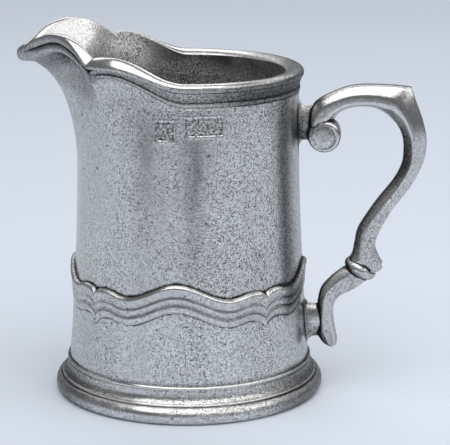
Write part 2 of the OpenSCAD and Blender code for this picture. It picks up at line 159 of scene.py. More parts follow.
class Measures:
    """The sizes in millimetres and radians, and the ones that follow from them."""
    RIM_APRON = 0.6  # how far the rim casting reaches below its moulding

    def __init__(self, sizes):
        for name, prop in sizes.bl_rna.properties.items():
            value = getattr(sizes, name)
            setattr(self, name, value * TO_MM if getattr(prop, "unit", "") == "LENGTH" else value)
        self.seat_z = self.rim_h - self.rim_band_h - self.RIM_APRON
        self.root_z = self.rim_h - self.spout_drop
        self.notch_y = self.wall_top_r * math.sin(self.notch_angle)
        self.notch_dip = 0.9
        self.notch_z = self.rim_h + self.shoulder_rise - self.notch_dip
        self.disc_top = self.ledge_h + self.disc_t
        self.floor_r = self.wall_r(self.disc_top) - self.wall_t
        self.strut_span = self.upper_strut_z - self.lower_strut_z

    def wall_r(self, z):
        """Outer radius of the drum at a height."""
        k = np.maximum(0, self.seat_z - z) / (self.seat_z - self.foot_h)
        return self.wall_top_r + (self.wall_foot_r - self.wall_top_r) * k * k

    def place(self, out, up):
        """Point of the handle's outline from hundredths of the spacing of the struts."""
        k = up / 100
        wall = mix(self.wall_r(self.lower_strut_z), self.wall_r(self.upper_strut_z), k)
        return wall + self.strut_l + self.strut_span * out / 100, self.lower_strut_z + self.strut_span * k


# Curves and meshes

def mix(a, b, k):
    """Value at the share k of the way from a to b."""
    return a + (b - a) * k


def smooth(x):
    """Soft step that is 0 up to 0 and 1 from 1 on."""
    x = np.clip(x, 0, 1)
    return x * x * (3 - 2 * x)


def bell(x, width):
    """Bell curve with a height of 1."""
    return np.exp(-(x / width) ** 2)


def arc(cx, cy, r, start, end, steps):
    """Points of an arc between two angles in degrees."""
    a = np.radians(np.linspace(start, end, steps + 1))
    return np.column_stack([cx + r * np.cos(a), cy + r * np.sin(a)])


def spline(points, steps):
    """Smooth curve through the points, with so many steps between two of them."""
    p = np.asarray(points, float)
    p = np.vstack([p[:1], p, p[-1:]])
    u = (np.arange(steps) / steps)[:, None]
    runs = []
    for a, b, c, d in zip(p, p[1:], p[2:], p[3:]):
        runs.append(b + 0.5 * u * ((c - a) + u * ((2 * a - 5 * b + 4 * c - d) + u * (3 * (b - c) + d - a))))
    return np.vstack(runs + [p[-1:]])


def ladder(spacing):
    """Places along a line from (start, step) pairs, up to the last start."""
    places = []
    for (start, step), (end, _) in zip(spacing, spacing[1:]):
        places.extend(np.linspace(start, end, max(1, round(abs(end - start) / step)), endpoint=False))
    return np.array(places + [spacing[-1][0]])


def lumps(points, size, depth):
    """Uneven casting: a small rise or dip in millimetres for each point."""
    flat = points.reshape(-1, 3) / size
    return depth * np.array([noise.noise(Vector(p)) for p in flat]).reshape(points.shape[:-1])


def quads(rows, around):
    """Faces of a grid whose points run along a ring first, and whose rings are closed."""
    i, j = np.meshgrid(np.arange(rows - 1), np.arange(around), indexing="ij")
    k = (j + 1) % around
    return np.stack([i * around + j, i * around + k, (i + 1) * around + k, (i + 1) * around + j], -1).reshape(-1, 4)


def tube(rings):
    """Points and faces of a solid through a list of closed rings, capped at both ends."""
    rings = np.asarray(rings, float)
    rows, around = rings.shape[:2]
    faces = [list(f) for f in quads(rows, around)]
    faces.append(list(range(around - 1, -1, -1)))
    faces.append(list(range((rows - 1) * around, rows * around)))
    return rings.reshape(-1, 3), faces


def unit_rows(vectors):
    """The vectors at length 1."""
    return vectors / np.maximum(np.linalg.norm(vectors, axis=-1, keepdims=True), TINY)


def outward(points, faces):
    """The same faces, all turned round where the solid is inside out."""
    volume = 0.0
    for f in faces:
        p = points[list(f)]
        volume += np.einsum("ij,ij->", np.cross(p[1:-1] - p[0], p[2:] - p[0]), np.broadcast_to(p[0], (len(p) - 2, 3)))
    return faces if volume > 0 else [list(f)[::-1] for f in faces]


def new_piece(name, mesh, material, slot, *nodes):
    """Object at the origin that stands for CAD nodes and takes its finish from a material slot."""
    corners = np.empty(len(mesh.vertices) * 3)
    mesh.vertices.foreach_get("co", corners)
    corners = np.clip(corners.reshape(-1, 3), *(np.array(corner) for corner in CAD_BOX))
    mesh.vertices.foreach_set("co", corners.ravel())
    piece = bpy.data.objects.new(name, mesh)
    bpy.context.scene.collection.objects.link(piece)
    if material and not mesh.materials:
        mesh.materials.append(material)
    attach(piece, "root")
    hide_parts(*nodes)
    return piece


def solid_mesh(name, points, faces):
    """Smooth mesh in metres from points in millimetres."""
    mesh = bpy.data.meshes.new(name)
    mesh.from_pydata((np.asarray(points) * TO_METRES).tolist(), [], [list(map(int, f)) for f in faces])
    mesh.shade_smooth()
    mesh.update()
    return mesh


def crease(mesh, degrees):
    """Keeps the edges sharper than an angle from being smoothed over."""
    mesh.set_sharp_from_angle(angle=math.radians(degrees))


def seam_faces(mesh):
    """Which faces lie hidden in a joint between two castings."""
    hidden = np.zeros(len(mesh.polygons), bool)
    if "seam" in mesh.attributes:
        mesh.attributes["seam"].data.foreach_get("value", hidden)
    return hidden


def mesh_arrays(mesh):
    """Points, normals of the faces that show, and edges of a mesh."""
    points = np.empty(len(mesh.vertices) * 3)
    mesh.vertices.foreach_get("co", points)
    edges = np.empty(len(mesh.edges) * 2, int)
    mesh.edges.foreach_get("vertices", edges)
    corners = np.empty(len(mesh.loops), int)
    mesh.loops.foreach_get("vertex_index", corners)
    corner_normals = np.empty(len(mesh.loops) * 3)
    mesh.corner_normals.foreach_get("vector", corner_normals)
    sides = np.empty(len(mesh.polygons), int)
    mesh.polygons.foreach_get("loop_total", sides)
    shown = np.repeat(~seam_faces(mesh), sides)
    normals = np.zeros((len(mesh.vertices), 3))
    np.add.at(normals, corners[shown], corner_normals.reshape(-1, 3)[shown])
    return points.reshape(-1, 3), unit_rows(normals), edges.reshape(-1, 2)


def averaged(values, edges, times):
    """Values of the points, each evened out with its neighbours."""
    for _ in range(times):
        total, count = values.copy(), np.ones(len(values))
        for a, b in ((0, 1), (1, 0)):
            np.add.at(total, edges[:, a], values[edges[:, b]])
            np.add.at(count, edges[:, a], 1)
        values = total / (count if values.ndim == 1 else count[:, None])
    return values


def soften(mesh, times, stride=None):
    """Evens out the normals, so that edges shade like worn ones: every way, or only along a strip."""
    _, normals, edges = mesh_arrays(mesh)
    if stride:
        edges = edges[np.abs(edges[:, 0] - edges[:, 1]) == stride]
    normals = unit_rows(averaged(normals, edges, times))
    mesh.normals_split_custom_set_from_vertices(normals.tolist())


# Node trees

class Number:
    """A number in a node tree. Arithmetic on it adds Math nodes."""

    def __init__(self, tree, socket):
        self.tree = tree
        self.socket = socket

    def math(self, operation, *values):
        return Number(self.tree, add(self.tree, "ShaderNodeMath", values, operation=operation).outputs[0])

    def __add__(self, other): return self.math("ADD", self, other)
    def __radd__(self, other): return self.math("ADD", other, self)
    def __sub__(self, other): return self.math("SUBTRACT", self, other)
    def __rsub__(self, other): return self.math("SUBTRACT", other, self)
    def __mul__(self, other): return self.math("MULTIPLY", self, other)
    def __rmul__(self, other): return self.math("MULTIPLY", other, self)
    def __truediv__(self, other): return self.math("DIVIDE", self, other)
    def __pow__(self, other): return self.math("POWER", self, other)
    def floor(self): return self.math("FLOOR", self)
    def fract(self): return self.math("FRACT", self)
    def sign(self): return self.math("SIGN", self)
    def abs(self): return self.math("ABSOLUTE", self)
    def sqrt(self): return self.math("SQRT", self)
    def cos(self): return self.math("COSINE", self)
    def sin(self): return self.math("SINE", self)
    def least(self, other): return self.math("MINIMUM", self, other)
    def most(self, other): return self.math("MAXIMUM", self, other)
    def less_than(self, other): return self.math("LESS_THAN", self, other)
    def unit(self): return self.most(0.0).least(1.0)


def add(tree, kind, inputs=(), **settings):
    """New node with its settings and inputs, which are given in order or by name."""
    node = tree.nodes.new(kind)
    count = len(tree.nodes)
    node.location = (count % 10 * 190, -(count // 10) * 260)
    for name, value in settings.items():
        setattr(node, name, value)
    pairs = inputs.items() if isinstance(inputs, dict) else enumerate(inputs)
    for key, value in pairs:
        value = value.socket if isinstance(value, Number) else value
        if isinstance(value, bpy.types.NodeSocket):
            tree.links.new(value, node.inputs[key])
        else:
            node.inputs[key].default_value = value
    return node


def new_tree(name, kind, inputs, outputs):
    """Node group with named sockets, and its input and output nodes."""
    tree = bpy.data.node_groups.new(name, kind)
    for socket, typ, *default in inputs:
        item = tree.interface.new_socket(socket, in_out="INPUT", socket_type="NodeSocket" + typ)
        if default:
            item.default_value = default[0]
    for socket, typ in outputs:
        tree.interface.new_socket(socket, in_out="OUTPUT", socket_type="NodeSocket" + typ)
    return tree, tree.nodes.new("NodeGroupInput"), tree.nodes.new("NodeGroupOutput")


def grow(mesh, tree, **values):
    """Mesh that a Geometry Nodes tree makes from the given mesh and named inputs."""
    carrier = bpy.data.objects.new(mesh.name, mesh)
    bpy.context.scene.collection.objects.link(carrier)
    modifier = carrier.modifiers.new("shape", "NODES")
    modifier.node_group = tree
    for item in tree.interface.items_tree:
        if item.in_out == "INPUT" and item.name in values:
            modifier[item.identifier] = values[item.name]
    shaped = bpy.data.meshes.new_from_object(carrier.evaluated_get(bpy.context.evaluated_depsgraph_get()))
    bpy.data.objects.remove(carrier)
    if not shaped.polygons:
        raise RuntimeError(f"{mesh.name}: the node tree made no faces")
    volume = sum(p.area * p.normal.dot(p.center) for p in shaped.polygons)
    if volume < 0:
        shaped.flip_normals()
    return shaped


def closed_grid(tree, columns, rows):
    """Grid for a ring with a closed section, and the column and the row of each of its points."""
    grid = add(tree, "GeometryNodeMeshGrid", {"Vertices X": columns + 1, "Vertices Y": rows + 1}).outputs[0]
    index = Number(tree, add(tree, "GeometryNodeInputIndex").outputs[0])
    column = ((index + 0.5) / (rows + 1)).floor()
    row = index - column * (rows + 1)
    return grid, column, row - rows * (row / rows + 1e-4).floor()


def wrapped(tree, grid, radius, turn, height):
    """The grid laid round the upright axis, with its seams merged."""
    place = add(tree, "ShaderNodeCombineXYZ", {0: radius * turn.cos(), 1: radius * turn.sin(), 2: height}).outputs[0]
    ring = add(tree, "GeometryNodeSetPosition", {"Geometry": grid, "Position": place}).outputs[0]
    return add(tree, "GeometryNodeMergeByDistance", {"Geometry": ring, "Distance": WELD}).outputs[0]


def ramp(tree, value, low, high):
    """Soft step from 0 at the low value to 1 at the high one."""
    node = add(tree, "ShaderNodeMapRange", {"Value": value, "From Min": low, "From Max": high},
               interpolation_type="SMOOTHSTEP")
    return Number(tree, node.outputs[0])


def uneven(tree, geometry, amount, size):
    """Moves points in and out along their normals by a noise of the given size."""
    at = add(tree, "GeometryNodeInputPosition").outputs[0]
    bumps = add(tree, "ShaderNodeTexNoise", {"Vector": at, "Scale": size, "Detail": 2.0}).outputs[0]
    push = (Number(tree, bumps) - 0.5) * amount
    normal = add(tree, "GeometryNodeInputNormal").outputs[0]
    shift = add(tree, "ShaderNodeVectorMath", {0: normal, "Scale": push}, operation="SCALE").outputs[0]
    return add(tree, "GeometryNodeSetPosition", {"Geometry": geometry, "Offset": shift}).outputs[0]


def close_tree(tree, geometry, finish, output):
    """Ends a tree: seams merged, smooth, real geometry, with its material."""
    merged = add(tree, "GeometryNodeMergeByDistance", {"Geometry": geometry, "Distance": WELD}).outputs[0]
    shaded = add(tree, "GeometryNodeSetShadeSmooth", {"Geometry": merged}).outputs[0]
    real = add(tree, "GeometryNodeRealizeInstances", {"Geometry": shaded}).outputs[0]
    dressed = add(tree, "GeometryNodeSetMaterial", {"Geometry": real, "Material": finish}).outputs[0]
    tree.links.new(dressed, output.inputs[0])


def turned_ring_tree():
    """Turns a closed profile, drawn as radius along X and height along Z, round the upright axis."""
    name = "turned_ring"
    if name in bpy.data.node_groups:
        return bpy.data.node_groups[name]
    tree, given, out = new_tree(
        name, "GeometryNodeTree",
        [("Profile", "Geometry"), ("Steps", "Int", 192), ("Unevenness", "Float", 0.0001),
         ("Lump Scale", "Float", 120.0), ("Tilt", "Float", 0.0), ("Centre", "Vector"), ("Finish", "Material")],
        [("Geometry", "Geometry")])
    profile, steps = given.outputs["Profile"], Number(tree, given.outputs["Steps"])
    size = add(tree, "GeometryNodeAttributeDomainSize", {"Geometry": profile}, component="MESH")
    count = Number(tree, size.outputs["Point Count"])
    grid, column, row = closed_grid(tree, steps, count)
    at = add(tree, "GeometryNodeInputPosition").outputs[0]
    point = add(tree, "GeometryNodeSampleIndex", {"Geometry": profile, "Value": at, "Index": row + 0.01},
                data_type="FLOAT_VECTOR").outputs[0]
    parts = add(tree, "ShaderNodeSeparateXYZ", {0: point})
    radius, height = Number(tree, parts.outputs[0]), parts.outputs[2]
    turn = column / steps * math.tau
    ring = wrapped(tree, grid, radius, turn, height)
    ring = uneven(tree, ring, given.outputs["Unevenness"], given.outputs["Lump Scale"])
    at = add(tree, "GeometryNodeInputPosition").outputs[0]
    tilted = add(tree, "ShaderNodeVectorRotate", {"Vector": at, "Angle": given.outputs["Tilt"]},
                 rotation_type="Y_AXIS").outputs[0]
    moved = add(tree, "ShaderNodeVectorMath", {0: tilted, 1: given.outputs["Centre"]}, operation="ADD").outputs[0]
    ring = add(tree, "GeometryNodeSetPosition", {"Geometry": ring, "Position": moved}).outputs[0]
    close_tree(tree, ring, given.outputs["Finish"], out)
    return tree


# Face of the belt: share of its height from the top, share of its relief
BELT_SECTION = [(0, 0.0), (0.02, 0.35), (0.05, 0.7), (0.09, 0.93), (0.14, 1.0), (0.2, 0.94), (0.26, 0.78),
                (0.32, 0.63), (0.38, 0.56), (0.44, 0.6), (0.5, 0.65), (0.56, 0.6), (0.62, 0.42), (0.67, 0.31),
                (0.72, 0.35), (0.79, 0.43), (0.86, 0.4), (0.92, 0.28), (0.97, 0.1), (1, 0.0)]


def scalloped_belt_tree():
    """Moulding that follows a scalloped line round the drum, in equal panels that meet in pointed cusps."""
    tree, given, out = new_tree(
        "scalloped_belt", "GeometryNodeTree",
        [("Geometry", "Geometry"), ("Panels", "Int", 4), ("Panel Columns", "Int", 90), ("Face Rows", "Int", 52),
         ("Crest Height", "Float"), ("Height", "Float"), ("Relief", "Float"), ("Wave", "Float"),
         ("Hump", "Float", 0.0011), ("Cusp", "Float", 0.00145), ("Point", "Float", 0.0014),
         ("Wall Radius", "Float"), ("Wall Flare", "Float"), ("Flare Top", "Float"), ("Flare Length", "Float"),
         ("Unevenness", "Float", 0.0001), ("Lump Scale", "Float", 150.0), ("Finish", "Material")],
        [("Geometry", "Geometry")])
    value = {item.name: Number(tree, item) for item in given.outputs}
    back_rows = 3
    panels, face_rows = value["Panels"], value["Face Rows"]
    columns = panels * value["Panel Columns"]
    rows = face_rows + back_rows
    grid, column, row = closed_grid(tree, columns, rows)
    # place in the panel: 0 on its crest, 1 on the cusp, with the columns closer together near the cusp
    along = column / value["Panel Columns"]
    side = along.fract() * 2 - 1
    a = 1 - (1 - side.abs()).most(0.0) ** 1.5
    turn = (along.floor() + 0.5 + side.sign() * a * 0.5) * math.tau / panels
    # places where the crest ends, where the hump beside the cusp is highest, and where the lower point starts
    crest, hump, dive = 0.58, 0.86, 0.74
    fall = ((a.least(crest) * (math.pi / crest)).cos() - 1) * value["Wave"] * 0.5
    swell = (1 - (((a - crest) / (hump - crest)).unit() * math.pi).cos()) * value["Hump"] * 0.5
    notch = ((a - hump) / (1 - hump)).unit()
    drop = (1 - (1 - notch * notch).sqrt()) * value["Cusp"]
    top = value["Crest Height"] + fall + swell - drop
    deep = ((a - dive) / (1 - dive)).unit()
    tall = value["Height"] + value["Point"] * deep * deep
    # section: down the face, then up the back that lies on the drum
    on_face = row.less_than(face_rows - 0.5)
    down = (row / (face_rows - 1)).unit()
    up = 1 - (row - face_rows + 1) / (back_rows + 1)
    part = down * on_face + up * (1 - on_face)
    section = add(tree, "ShaderNodeFloatCurve", {"Value": part})
    curve = section.mapping.curves[0]
    while len(curve.points) < len(BELT_SECTION):
        curve.points.new(0.5, 0.5)
    for point, (x, y) in zip(curve.points, BELT_SECTION):
        point.location = (x, y)
        point.handle_type = "AUTO_CLAMPED"
    section.mapping.update()
    z = top - tall * part
    flare = (value["Flare Top"] - z).most(0.0) / value["Flare Length"]
    wall = value["Wall Radius"] + value["Wall Flare"] * flare * flare
    radius = wall + value["Relief"] * Number(tree, section.outputs[0]) * on_face
    belt = wrapped(tree, grid, radius, turn, z)
    belt = uneven(tree, belt, value["Unevenness"], value["Lump Scale"])
    close_tree(tree, belt, given.outputs["Finish"], out)
    return tree


# Finishes

def grain_group():
    """Grain, pits and clouding of a sand-cast skin."""
    name = "cast_grain"
    if name in bpy.data.node_groups:
        return bpy.data.node_groups[name]
    tree, given, out = new_tree(
        name, "ShaderNodeTree",
        [("Vector", "Vector"), ("Scale", "Float", 3900.0), ("Pitting", "Float", 0.5), ("Strength", "Float", 1.0),
         ("Stretch", "Float", 1.0)],
        [("Tone", "Float"), ("Pits", "Float"), ("Clouds", "Float"), ("Height", "Float")])
    where, scale = given.outputs["Vector"], Number(tree, given.outputs["Scale"])
    strength, pitting = (Number(tree, given.outputs[key]) for key in ("Strength", "Pitting"))

    def speckle(factor, detail, rough, at=where):
        node = add(tree, "ShaderNodeTexNoise",
                   {"Vector": at, "Scale": scale * factor, "Detail": detail, "Roughness": rough})
        return Number(tree, node.outputs[0])

    x, y, z = add(tree, "ShaderNodeSeparateXYZ", {0: where}).outputs
    drawn = add(tree, "ShaderNodeCombineXYZ", {0: x, 1: y, 2: Number(tree, z) / given.outputs["Stretch"]}).outputs[0]
    fine, middle = speckle(1.0, 1.5, 0.6), speckle(0.3, 2.0, 0.6)
    clouds = speckle(0.017, 3.0, 0.6, drawn)
    # the sand shows in patches, with the pits mostly in them
    heavy = ((clouds - 0.5) * 3.6 + 0.45).unit() * strength
    sand = (fine - 0.5) * (heavy * 1.3 + 0.16) + (middle - 0.5) * (heavy * 0.3 + 0.12)
    low = (0.5 - fine) * 0.85 + (0.5 - middle) * 0.2 + (heavy - 0.5) * 0.09 + (pitting - 0.5) * 0.08
    pits = ramp(tree, low, 0.085, 0.13)
    # larger holes, one in the middle of some of the cells
    cells = add(tree, "ShaderNodeTexVoronoi", {"Vector": where, "Scale": scale * 0.06})
    chosen = Number(tree, add(tree, "ShaderNodeSeparateColor", {0: cells.outputs["Color"]}).outputs[0])
    hole = (0.1 - Number(tree, cells.outputs["Distance"]) + (fine - 0.5) * 0.3) / 0.05
    pits = pits.most(hole.unit() * ((chosen - 0.62) / 0.1).unit())
    tree.links.new((sand * 6.5 + 0.5).unit().socket, out.inputs["Tone"])
    tree.links.new(pits.socket, out.inputs["Pits"])
    tree.links.new(clouds.socket, out.inputs["Clouds"])
    tree.links.new((sand + 0.5 - pits * 0.2).socket, out.inputs["Height"])
    return tree


def wear_group():
    """Patina that has stayed in the hollows together with painted shade, and metal rubbed bright on the edges."""
    name = "hollows_and_edges"
    if name in bpy.data.node_groups:
        return bpy.data.node_groups[name]
    tree, given, out = new_tree(
        name, "ShaderNodeTree",
        [("Vector", "Vector"), ("Recess", "Float"), ("Edge", "Float"), ("Ageing", "Float", 0.6),
         ("Rubbing", "Float", 0.6)],
        [("Patina", "Float"), ("Polish", "Float")])
    value = {item.name: Number(tree, item) for item in given.outputs}
    ragged = add(tree, "ShaderNodeTexNoise", {"Vector": given.outputs["Vector"], "Scale": 2400.0, "Detail": 3.0,
                                              "Roughness": 0.7})
    ragged = Number(tree, ragged.outputs[0]) - 0.5
    held = value["Recess"] * (value["Ageing"] * 1.2 + 0.4) + ragged * 2.0 * value["Recess"].most(0.1).least(0.4)
    patina = ramp(tree, held, 0.16, 0.66)
    rubbed = value["Edge"] * (value["Rubbing"] + 0.4) + ragged * 0.5 * value["Edge"]
    polish = ramp(tree, rubbed, 0.15, 0.8)
    tree.links.new(patina.socket, out.inputs["Patina"])
    tree.links.new((polish * (1 - patina)).socket, out.inputs["Polish"])
    return tree


# Places of a Mix node's colour sockets
MIX_A, MIX_B, MIX_RESULT = 6, 7, 2


def blend_colour(tree, mask, a, b):
    """Colour between a and b by a mask. Each is a socket or a plain colour."""
    a, b = (c if isinstance(c, bpy.types.NodeSocket) else (*c, 1.0) for c in (a, b))
    node = add(tree, "ShaderNodeMix", {0: mask, MIX_A: a, MIX_B: b}, data_type="RGBA", clamp_factor=True)
    return node.outputs[MIX_RESULT]


# Shares of the metal's colour in the dull and the pale grains
DULL, PALE = 0.54, 1.44


def pewter(name, finish, metal=None, sand=1.0, pitting=1.0, ageing=1.0, rubbing=0.6, roughness=0.19, bump=0.45,
           stretch=1.0):
    """Cast pewter with grain, pits, patina in its hollows with painted shade, and rubbed edges."""
    if name in bpy.data.materials:
        return bpy.data.materials[name]
    material = bpy.data.materials.new(name)
    material.use_nodes = True
    tree = material.node_tree
    shader = tree.nodes["Principled BSDF"]
    where = add(tree, "ShaderNodeTexCoord").outputs["Object"]
    recess = add(tree, "ShaderNodeAttribute", attribute_name="recess").outputs["Fac"]
    edge = add(tree, "ShaderNodeAttribute", attribute_name="edge").outputs["Fac"]
    raw = Number(tree, add(tree, "ShaderNodeAttribute", attribute_name="raw").outputs["Fac"])
    grain = add(tree, "ShaderNodeGroup", {
        "Vector": where, "Strength": (raw * 0.8 + sand).most(0.0), "Stretch": stretch,
        "Pitting": raw * 0.5 + finish.pitting * pitting}, node_tree=grain_group())
    wear = add(tree, "ShaderNodeGroup", {
        "Vector": where, "Recess": recess, "Edge": edge, "Ageing": finish.ageing * ageing,
        "Rubbing": rubbing}, node_tree=wear_group())
    tone, pits, clouds = (Number(tree, grain.outputs[key]) for key in ("Tone", "Pits", "Clouds"))
    patina, polish = (Number(tree, wear.outputs[key]) for key in ("Patina", "Polish"))
    base = tuple(metal or finish.pewter)
    dull = tuple(c * DULL for c in base)
    pale = tuple(min(1.0, c * PALE) for c in base)
    body = blend_colour(tree, (tone * 0.85 + (clouds - 0.5) * 0.5 + 0.07).unit().socket, dull, pale)
    body = blend_colour(tree, (pits * (1 - polish * 0.6) * 0.8).socket, body, finish.patina)
    body = blend_colour(tree, patina.socket, body, finish.patina)
    body = blend_colour(tree, (polish * 0.8).socket, body, finish.bright)
    tree.links.new(body, shader.inputs["Base Color"])
    shader.inputs["Metallic"].default_value = 1.0
    rough = (clouds - 0.5) * 0.2 + roughness + raw.most(0.0) * 0.16 + pits * 0.2 + patina * 0.25 - polish * 0.12
    tree.links.new(rough.socket, shader.inputs["Roughness"])
    strength = (Number(tree, recess) * 1.4 + raw + 1) * bump
    height = add(tree, "ShaderNodeBump", {"Strength": strength.least(1.0), "Distance": 0.0002,
                                          "Height": grain.outputs["Height"]})
    tree.links.new(height.outputs[0], shader.inputs["Normal"])
    return material


def finishes(finish):
    """The finishes of the creamer's pieces by name."""
    return {
        "drum": pewter("drum_pewter", finish, sand=0.6, pitting=1.7, roughness=0.17, bump=0.28, stretch=4.0),
        "mouth": pewter("mouth_pewter", finish, sand=0.4, pitting=0.8, rubbing=0.8),
        "belt": pewter("belt_pewter", finish, sand=0.5, pitting=1.1, ageing=0.8, rubbing=0.7, roughness=0.18),
        "foot": pewter("foot_pewter", finish, sand=0.65, pitting=1.2, ageing=0.5, rubbing=0.5, bump=0.5),
        "handle": pewter("handle_pewter", finish, sand=0.36, pitting=0.8, ageing=0.9, rubbing=0.8),
        "strut": pewter("strut_pewter", finish, sand=0.8, pitting=1.2, ageing=0.85, roughness=0.22),
        "solder": pewter("run_solder", finish, metal=finish.solder, rubbing=0.3, roughness=0.4),
    }


def sizes_and_finishes(context):
    """What each step of the build works with."""
    return Measures(context.scene.creamer_sizes), finishes(context.scene.creamer_finish)


# Drum, rim and spout: one skin of columns from the foot over the lip and down the inside

# Sections of the moulding from its lower edge to the inside of the lip: outward place from the lip in
# millimetres, share of the moulding's height
RIM_SECTION = [(-1.15, 0.0), (-1.22, 0.012), (-1.2, 0.035), (-1.08, 0.07), (-0.98, 0.11), (-0.96, 0.15),
               (-1.02, 0.195), (-1.08, 0.23), (-1.06, 0.3), (-0.94, 0.39), (-0.76, 0.48), (-0.54, 0.56),
               (-0.38, 0.615), (-0.31, 0.645), (-0.14, 0.675), (-0.03, 0.72), (0.0, 0.765), (-0.1, 0.85),
               (-0.42, 0.925), (-1.0, 0.978), (-1.85, 1.0), (-2.95, 0.965), (-4.0, 0.9), (-4.8, 0.8)]
SHOULDER_SECTION = [(-1.15, 0.0), (-1.19, 0.012), (-1.17, 0.04), (-1.1, 0.08), (-1.02, 0.12), (-1.0, 0.15),
                    (-1.01, 0.18), (-0.99, 0.21), (-0.86, 0.26), (-0.66, 0.31), (-0.46, 0.355), (-0.28, 0.395),
                    (-0.18, 0.42), (-0.13, 0.44), (-0.05, 0.465), (0.0, 0.51), (-0.06, 0.57), (-0.22, 0.65),
                    (-0.55, 0.745), (-1.05, 0.85), (-1.65, 0.94), (-2.3, 1.0), (-2.66, 0.97), (-2.86, 0.89)]
BEAK_SECTION = [(-2.1, 0.0), (-1.75, 0.004), (-1.3, 0.02), (-0.9, 0.055), (-0.66, 0.11), (-0.58, 0.17),
                (-0.57, 0.24), (-0.62, 0.32), (-0.74, 0.39), (-0.82, 0.44), (-0.78, 0.48), (-0.55, 0.52),
                (-0.3, 0.56), (-0.12, 0.61), (-0.03, 0.67), (0.0, 0.73), (-0.01, 0.79), (-0.05, 0.85),
                (-0.15, 0.905), (-0.36, 0.955), (-0.72, 0.988), (-1.25, 1.0), (-1.9, 0.99), (-2.45, 0.95)]
NOTCH_SECTION = [(-1.15, 0.0), (-1.14, 0.012), (-1.12, 0.04), (-1.1, 0.08), (-1.07, 0.12), (-1.05, 0.15),
                 (-1.02, 0.18), (-1.0, 0.21), (-0.97, 0.26), (-0.97, 0.31), (-1.02, 0.36), (-1.12, 0.4),
                 (-1.16, 0.435), (-1.0, 0.465), (-0.62, 0.49), (-0.3, 0.53), (-0.18, 0.585), (-0.26, 0.66),
                 (-0.55, 0.745), (-1.05, 0.85), (-1.65, 0.94), (-2.3, 1.0), (-2.66, 0.97), (-2.86, 0.89)]
SHOULDER_BAND = 0.3  # how much taller the moulding is on the shoulders than along the beak, in millimetres
NOTCH_BAND = 1.6     # how much further down the moulding reaches at the notches, in millimetres
NOSE = 1.9           # depth of the round moulding at the beak's point, in millimetres
TIP_ROUND = 0.07     # how blunt the beak's point is, as a share of half its width
BEAK_STEP = 2.8      # how far the moulding stands out over the spout's wall, in millimetres
FUNNEL_ROWS = 26     # rows of points between the seam and the moulding
INNER_TOP = 0.96     # share of the way up at which the inside of the wall meets the lip
SOFT_FLARE, SHARP_FLARE = 0.62, 0.38   # shares of the slow and of the sudden flare in the spout's wall


def rim_columns(m, t):
    """Columns of the rim at the angles t from the spout, which grow towards the front."""
    at = np.where(t > math.pi, math.tau - t, t)
    side = np.where(t > math.pi, -1, 1)
    level, shoulder, flare = map(math.radians, (90, 52, 80))
    peak = shoulder + side * m.rim_skew
    even = np.where(at > peak, at - side * m.rim_skew,
                    mix(m.notch_angle, shoulder, (at - m.notch_angle) / (peak - m.notch_angle)))
    rise = smooth((level - even) / (level - shoulder))
    dip = np.clip((shoulder - even) / (shoulder - m.notch_angle), 0, 1)
    lip_z = np.where(even > shoulder, m.rim_h + m.shoulder_rise * rise,
                     m.notch_z + m.notch_dip * np.sqrt(1 - dip ** 2))
    lip_r = mix(m.wall_top_r + m.lip_out, m.wall_top_r + m.notch_out,
                smooth((flare - at) / (flare - m.notch_angle)))
    toward = np.column_stack([-np.cos(t), -np.sin(t)])
    seat = np.full(len(t), m.seat_z)
    return dict(seam=toward * m.wall_top_r, lip=toward * lip_r[:, None],
                seam_in=toward * (m.wall_top_r - m.wall_t), z0=seat, z0_in=seat, lip_z=lip_z,
                band=mix(m.rim_band_h, m.beak_band_h + SHOULDER_BAND, rise), drop=NOTCH_BAND * dip ** 2,
                shoulder=rise * (1 - dip ** 3), notch=rise * dip ** 3, beak=np.zeros(len(t)), nose=np.zeros(len(t)))


def spout_columns(m, s):
    """Columns of the spout at the places s across it, from -1 at the back notch to 1 at the front one."""
    soft = 4.0  # how round the lower point of the V in the drum is
    width = math.hypot(m.notch_y, soft) - soft
    depth = m.seat_z - m.root_z

    def seam_z(y):
        return m.root_z + depth * (np.hypot(y, soft) - soft) / width

    y = m.notch_y * s
    z0 = seam_z(y)
    seam = np.column_stack([-np.sqrt(m.wall_r(z0) ** 2 - y ** 2), -y])
    inner = (m.wall_top_r - m.wall_t) / m.wall_top_r
    y_in = y * inner
    z0_in = seam_z(mix(y_in, y, np.abs(s) ** 6))
    seam_in = np.column_stack([-np.sqrt((m.wall_r(z0_in) - m.wall_t) ** 2 - y_in ** 2), -y_in])
    q = 1 - np.hypot(s, TIP_ROUND) / math.hypot(1, TIP_ROUND)
    notch_r = m.wall_top_r + m.notch_out
    lip = np.column_stack([-mix(notch_r * math.cos(m.notch_angle), m.wall_top_r + m.beak_out, q),
                           -notch_r * math.sin(m.notch_angle) * s])
    # the lip climbs from the notch to the crest and falls to the tip
    front = np.clip(3 * s, -1, 1)
    top = 0.43 - 0.04 * front
    crest = m.rim_h + m.crest_rise - m.crest_lean / 2 * front
    climb = np.sin(math.pi / 2 * np.clip(q / top, 0, 1))
    fall = np.cos(math.pi / 2 * np.clip((q - top) / (1 - top), 0, 1)) ** 1.5
    lip_z = np.where(q < top, mix(m.notch_z, crest, climb), mix(m.rim_h + m.tip_rise, crest, fall))
    beak = smooth(q / 0.3)
    return dict(seam=seam, lip=lip, seam_in=seam_in, z0=z0, z0_in=z0_in, lip_z=lip_z,
                band=m.beak_band_h + SHOULDER_BAND - SHOULDER_BAND * beak - 0.7 * smooth((q - 0.62) / 0.3),
                drop=NOTCH_BAND * (1 - np.clip(q / 0.14, 0, 1)) ** 2, shoulder=np.zeros(len(s)),
                notch=1 - beak, beak=beak, nose=smooth((q - 0.66) / 0.22))


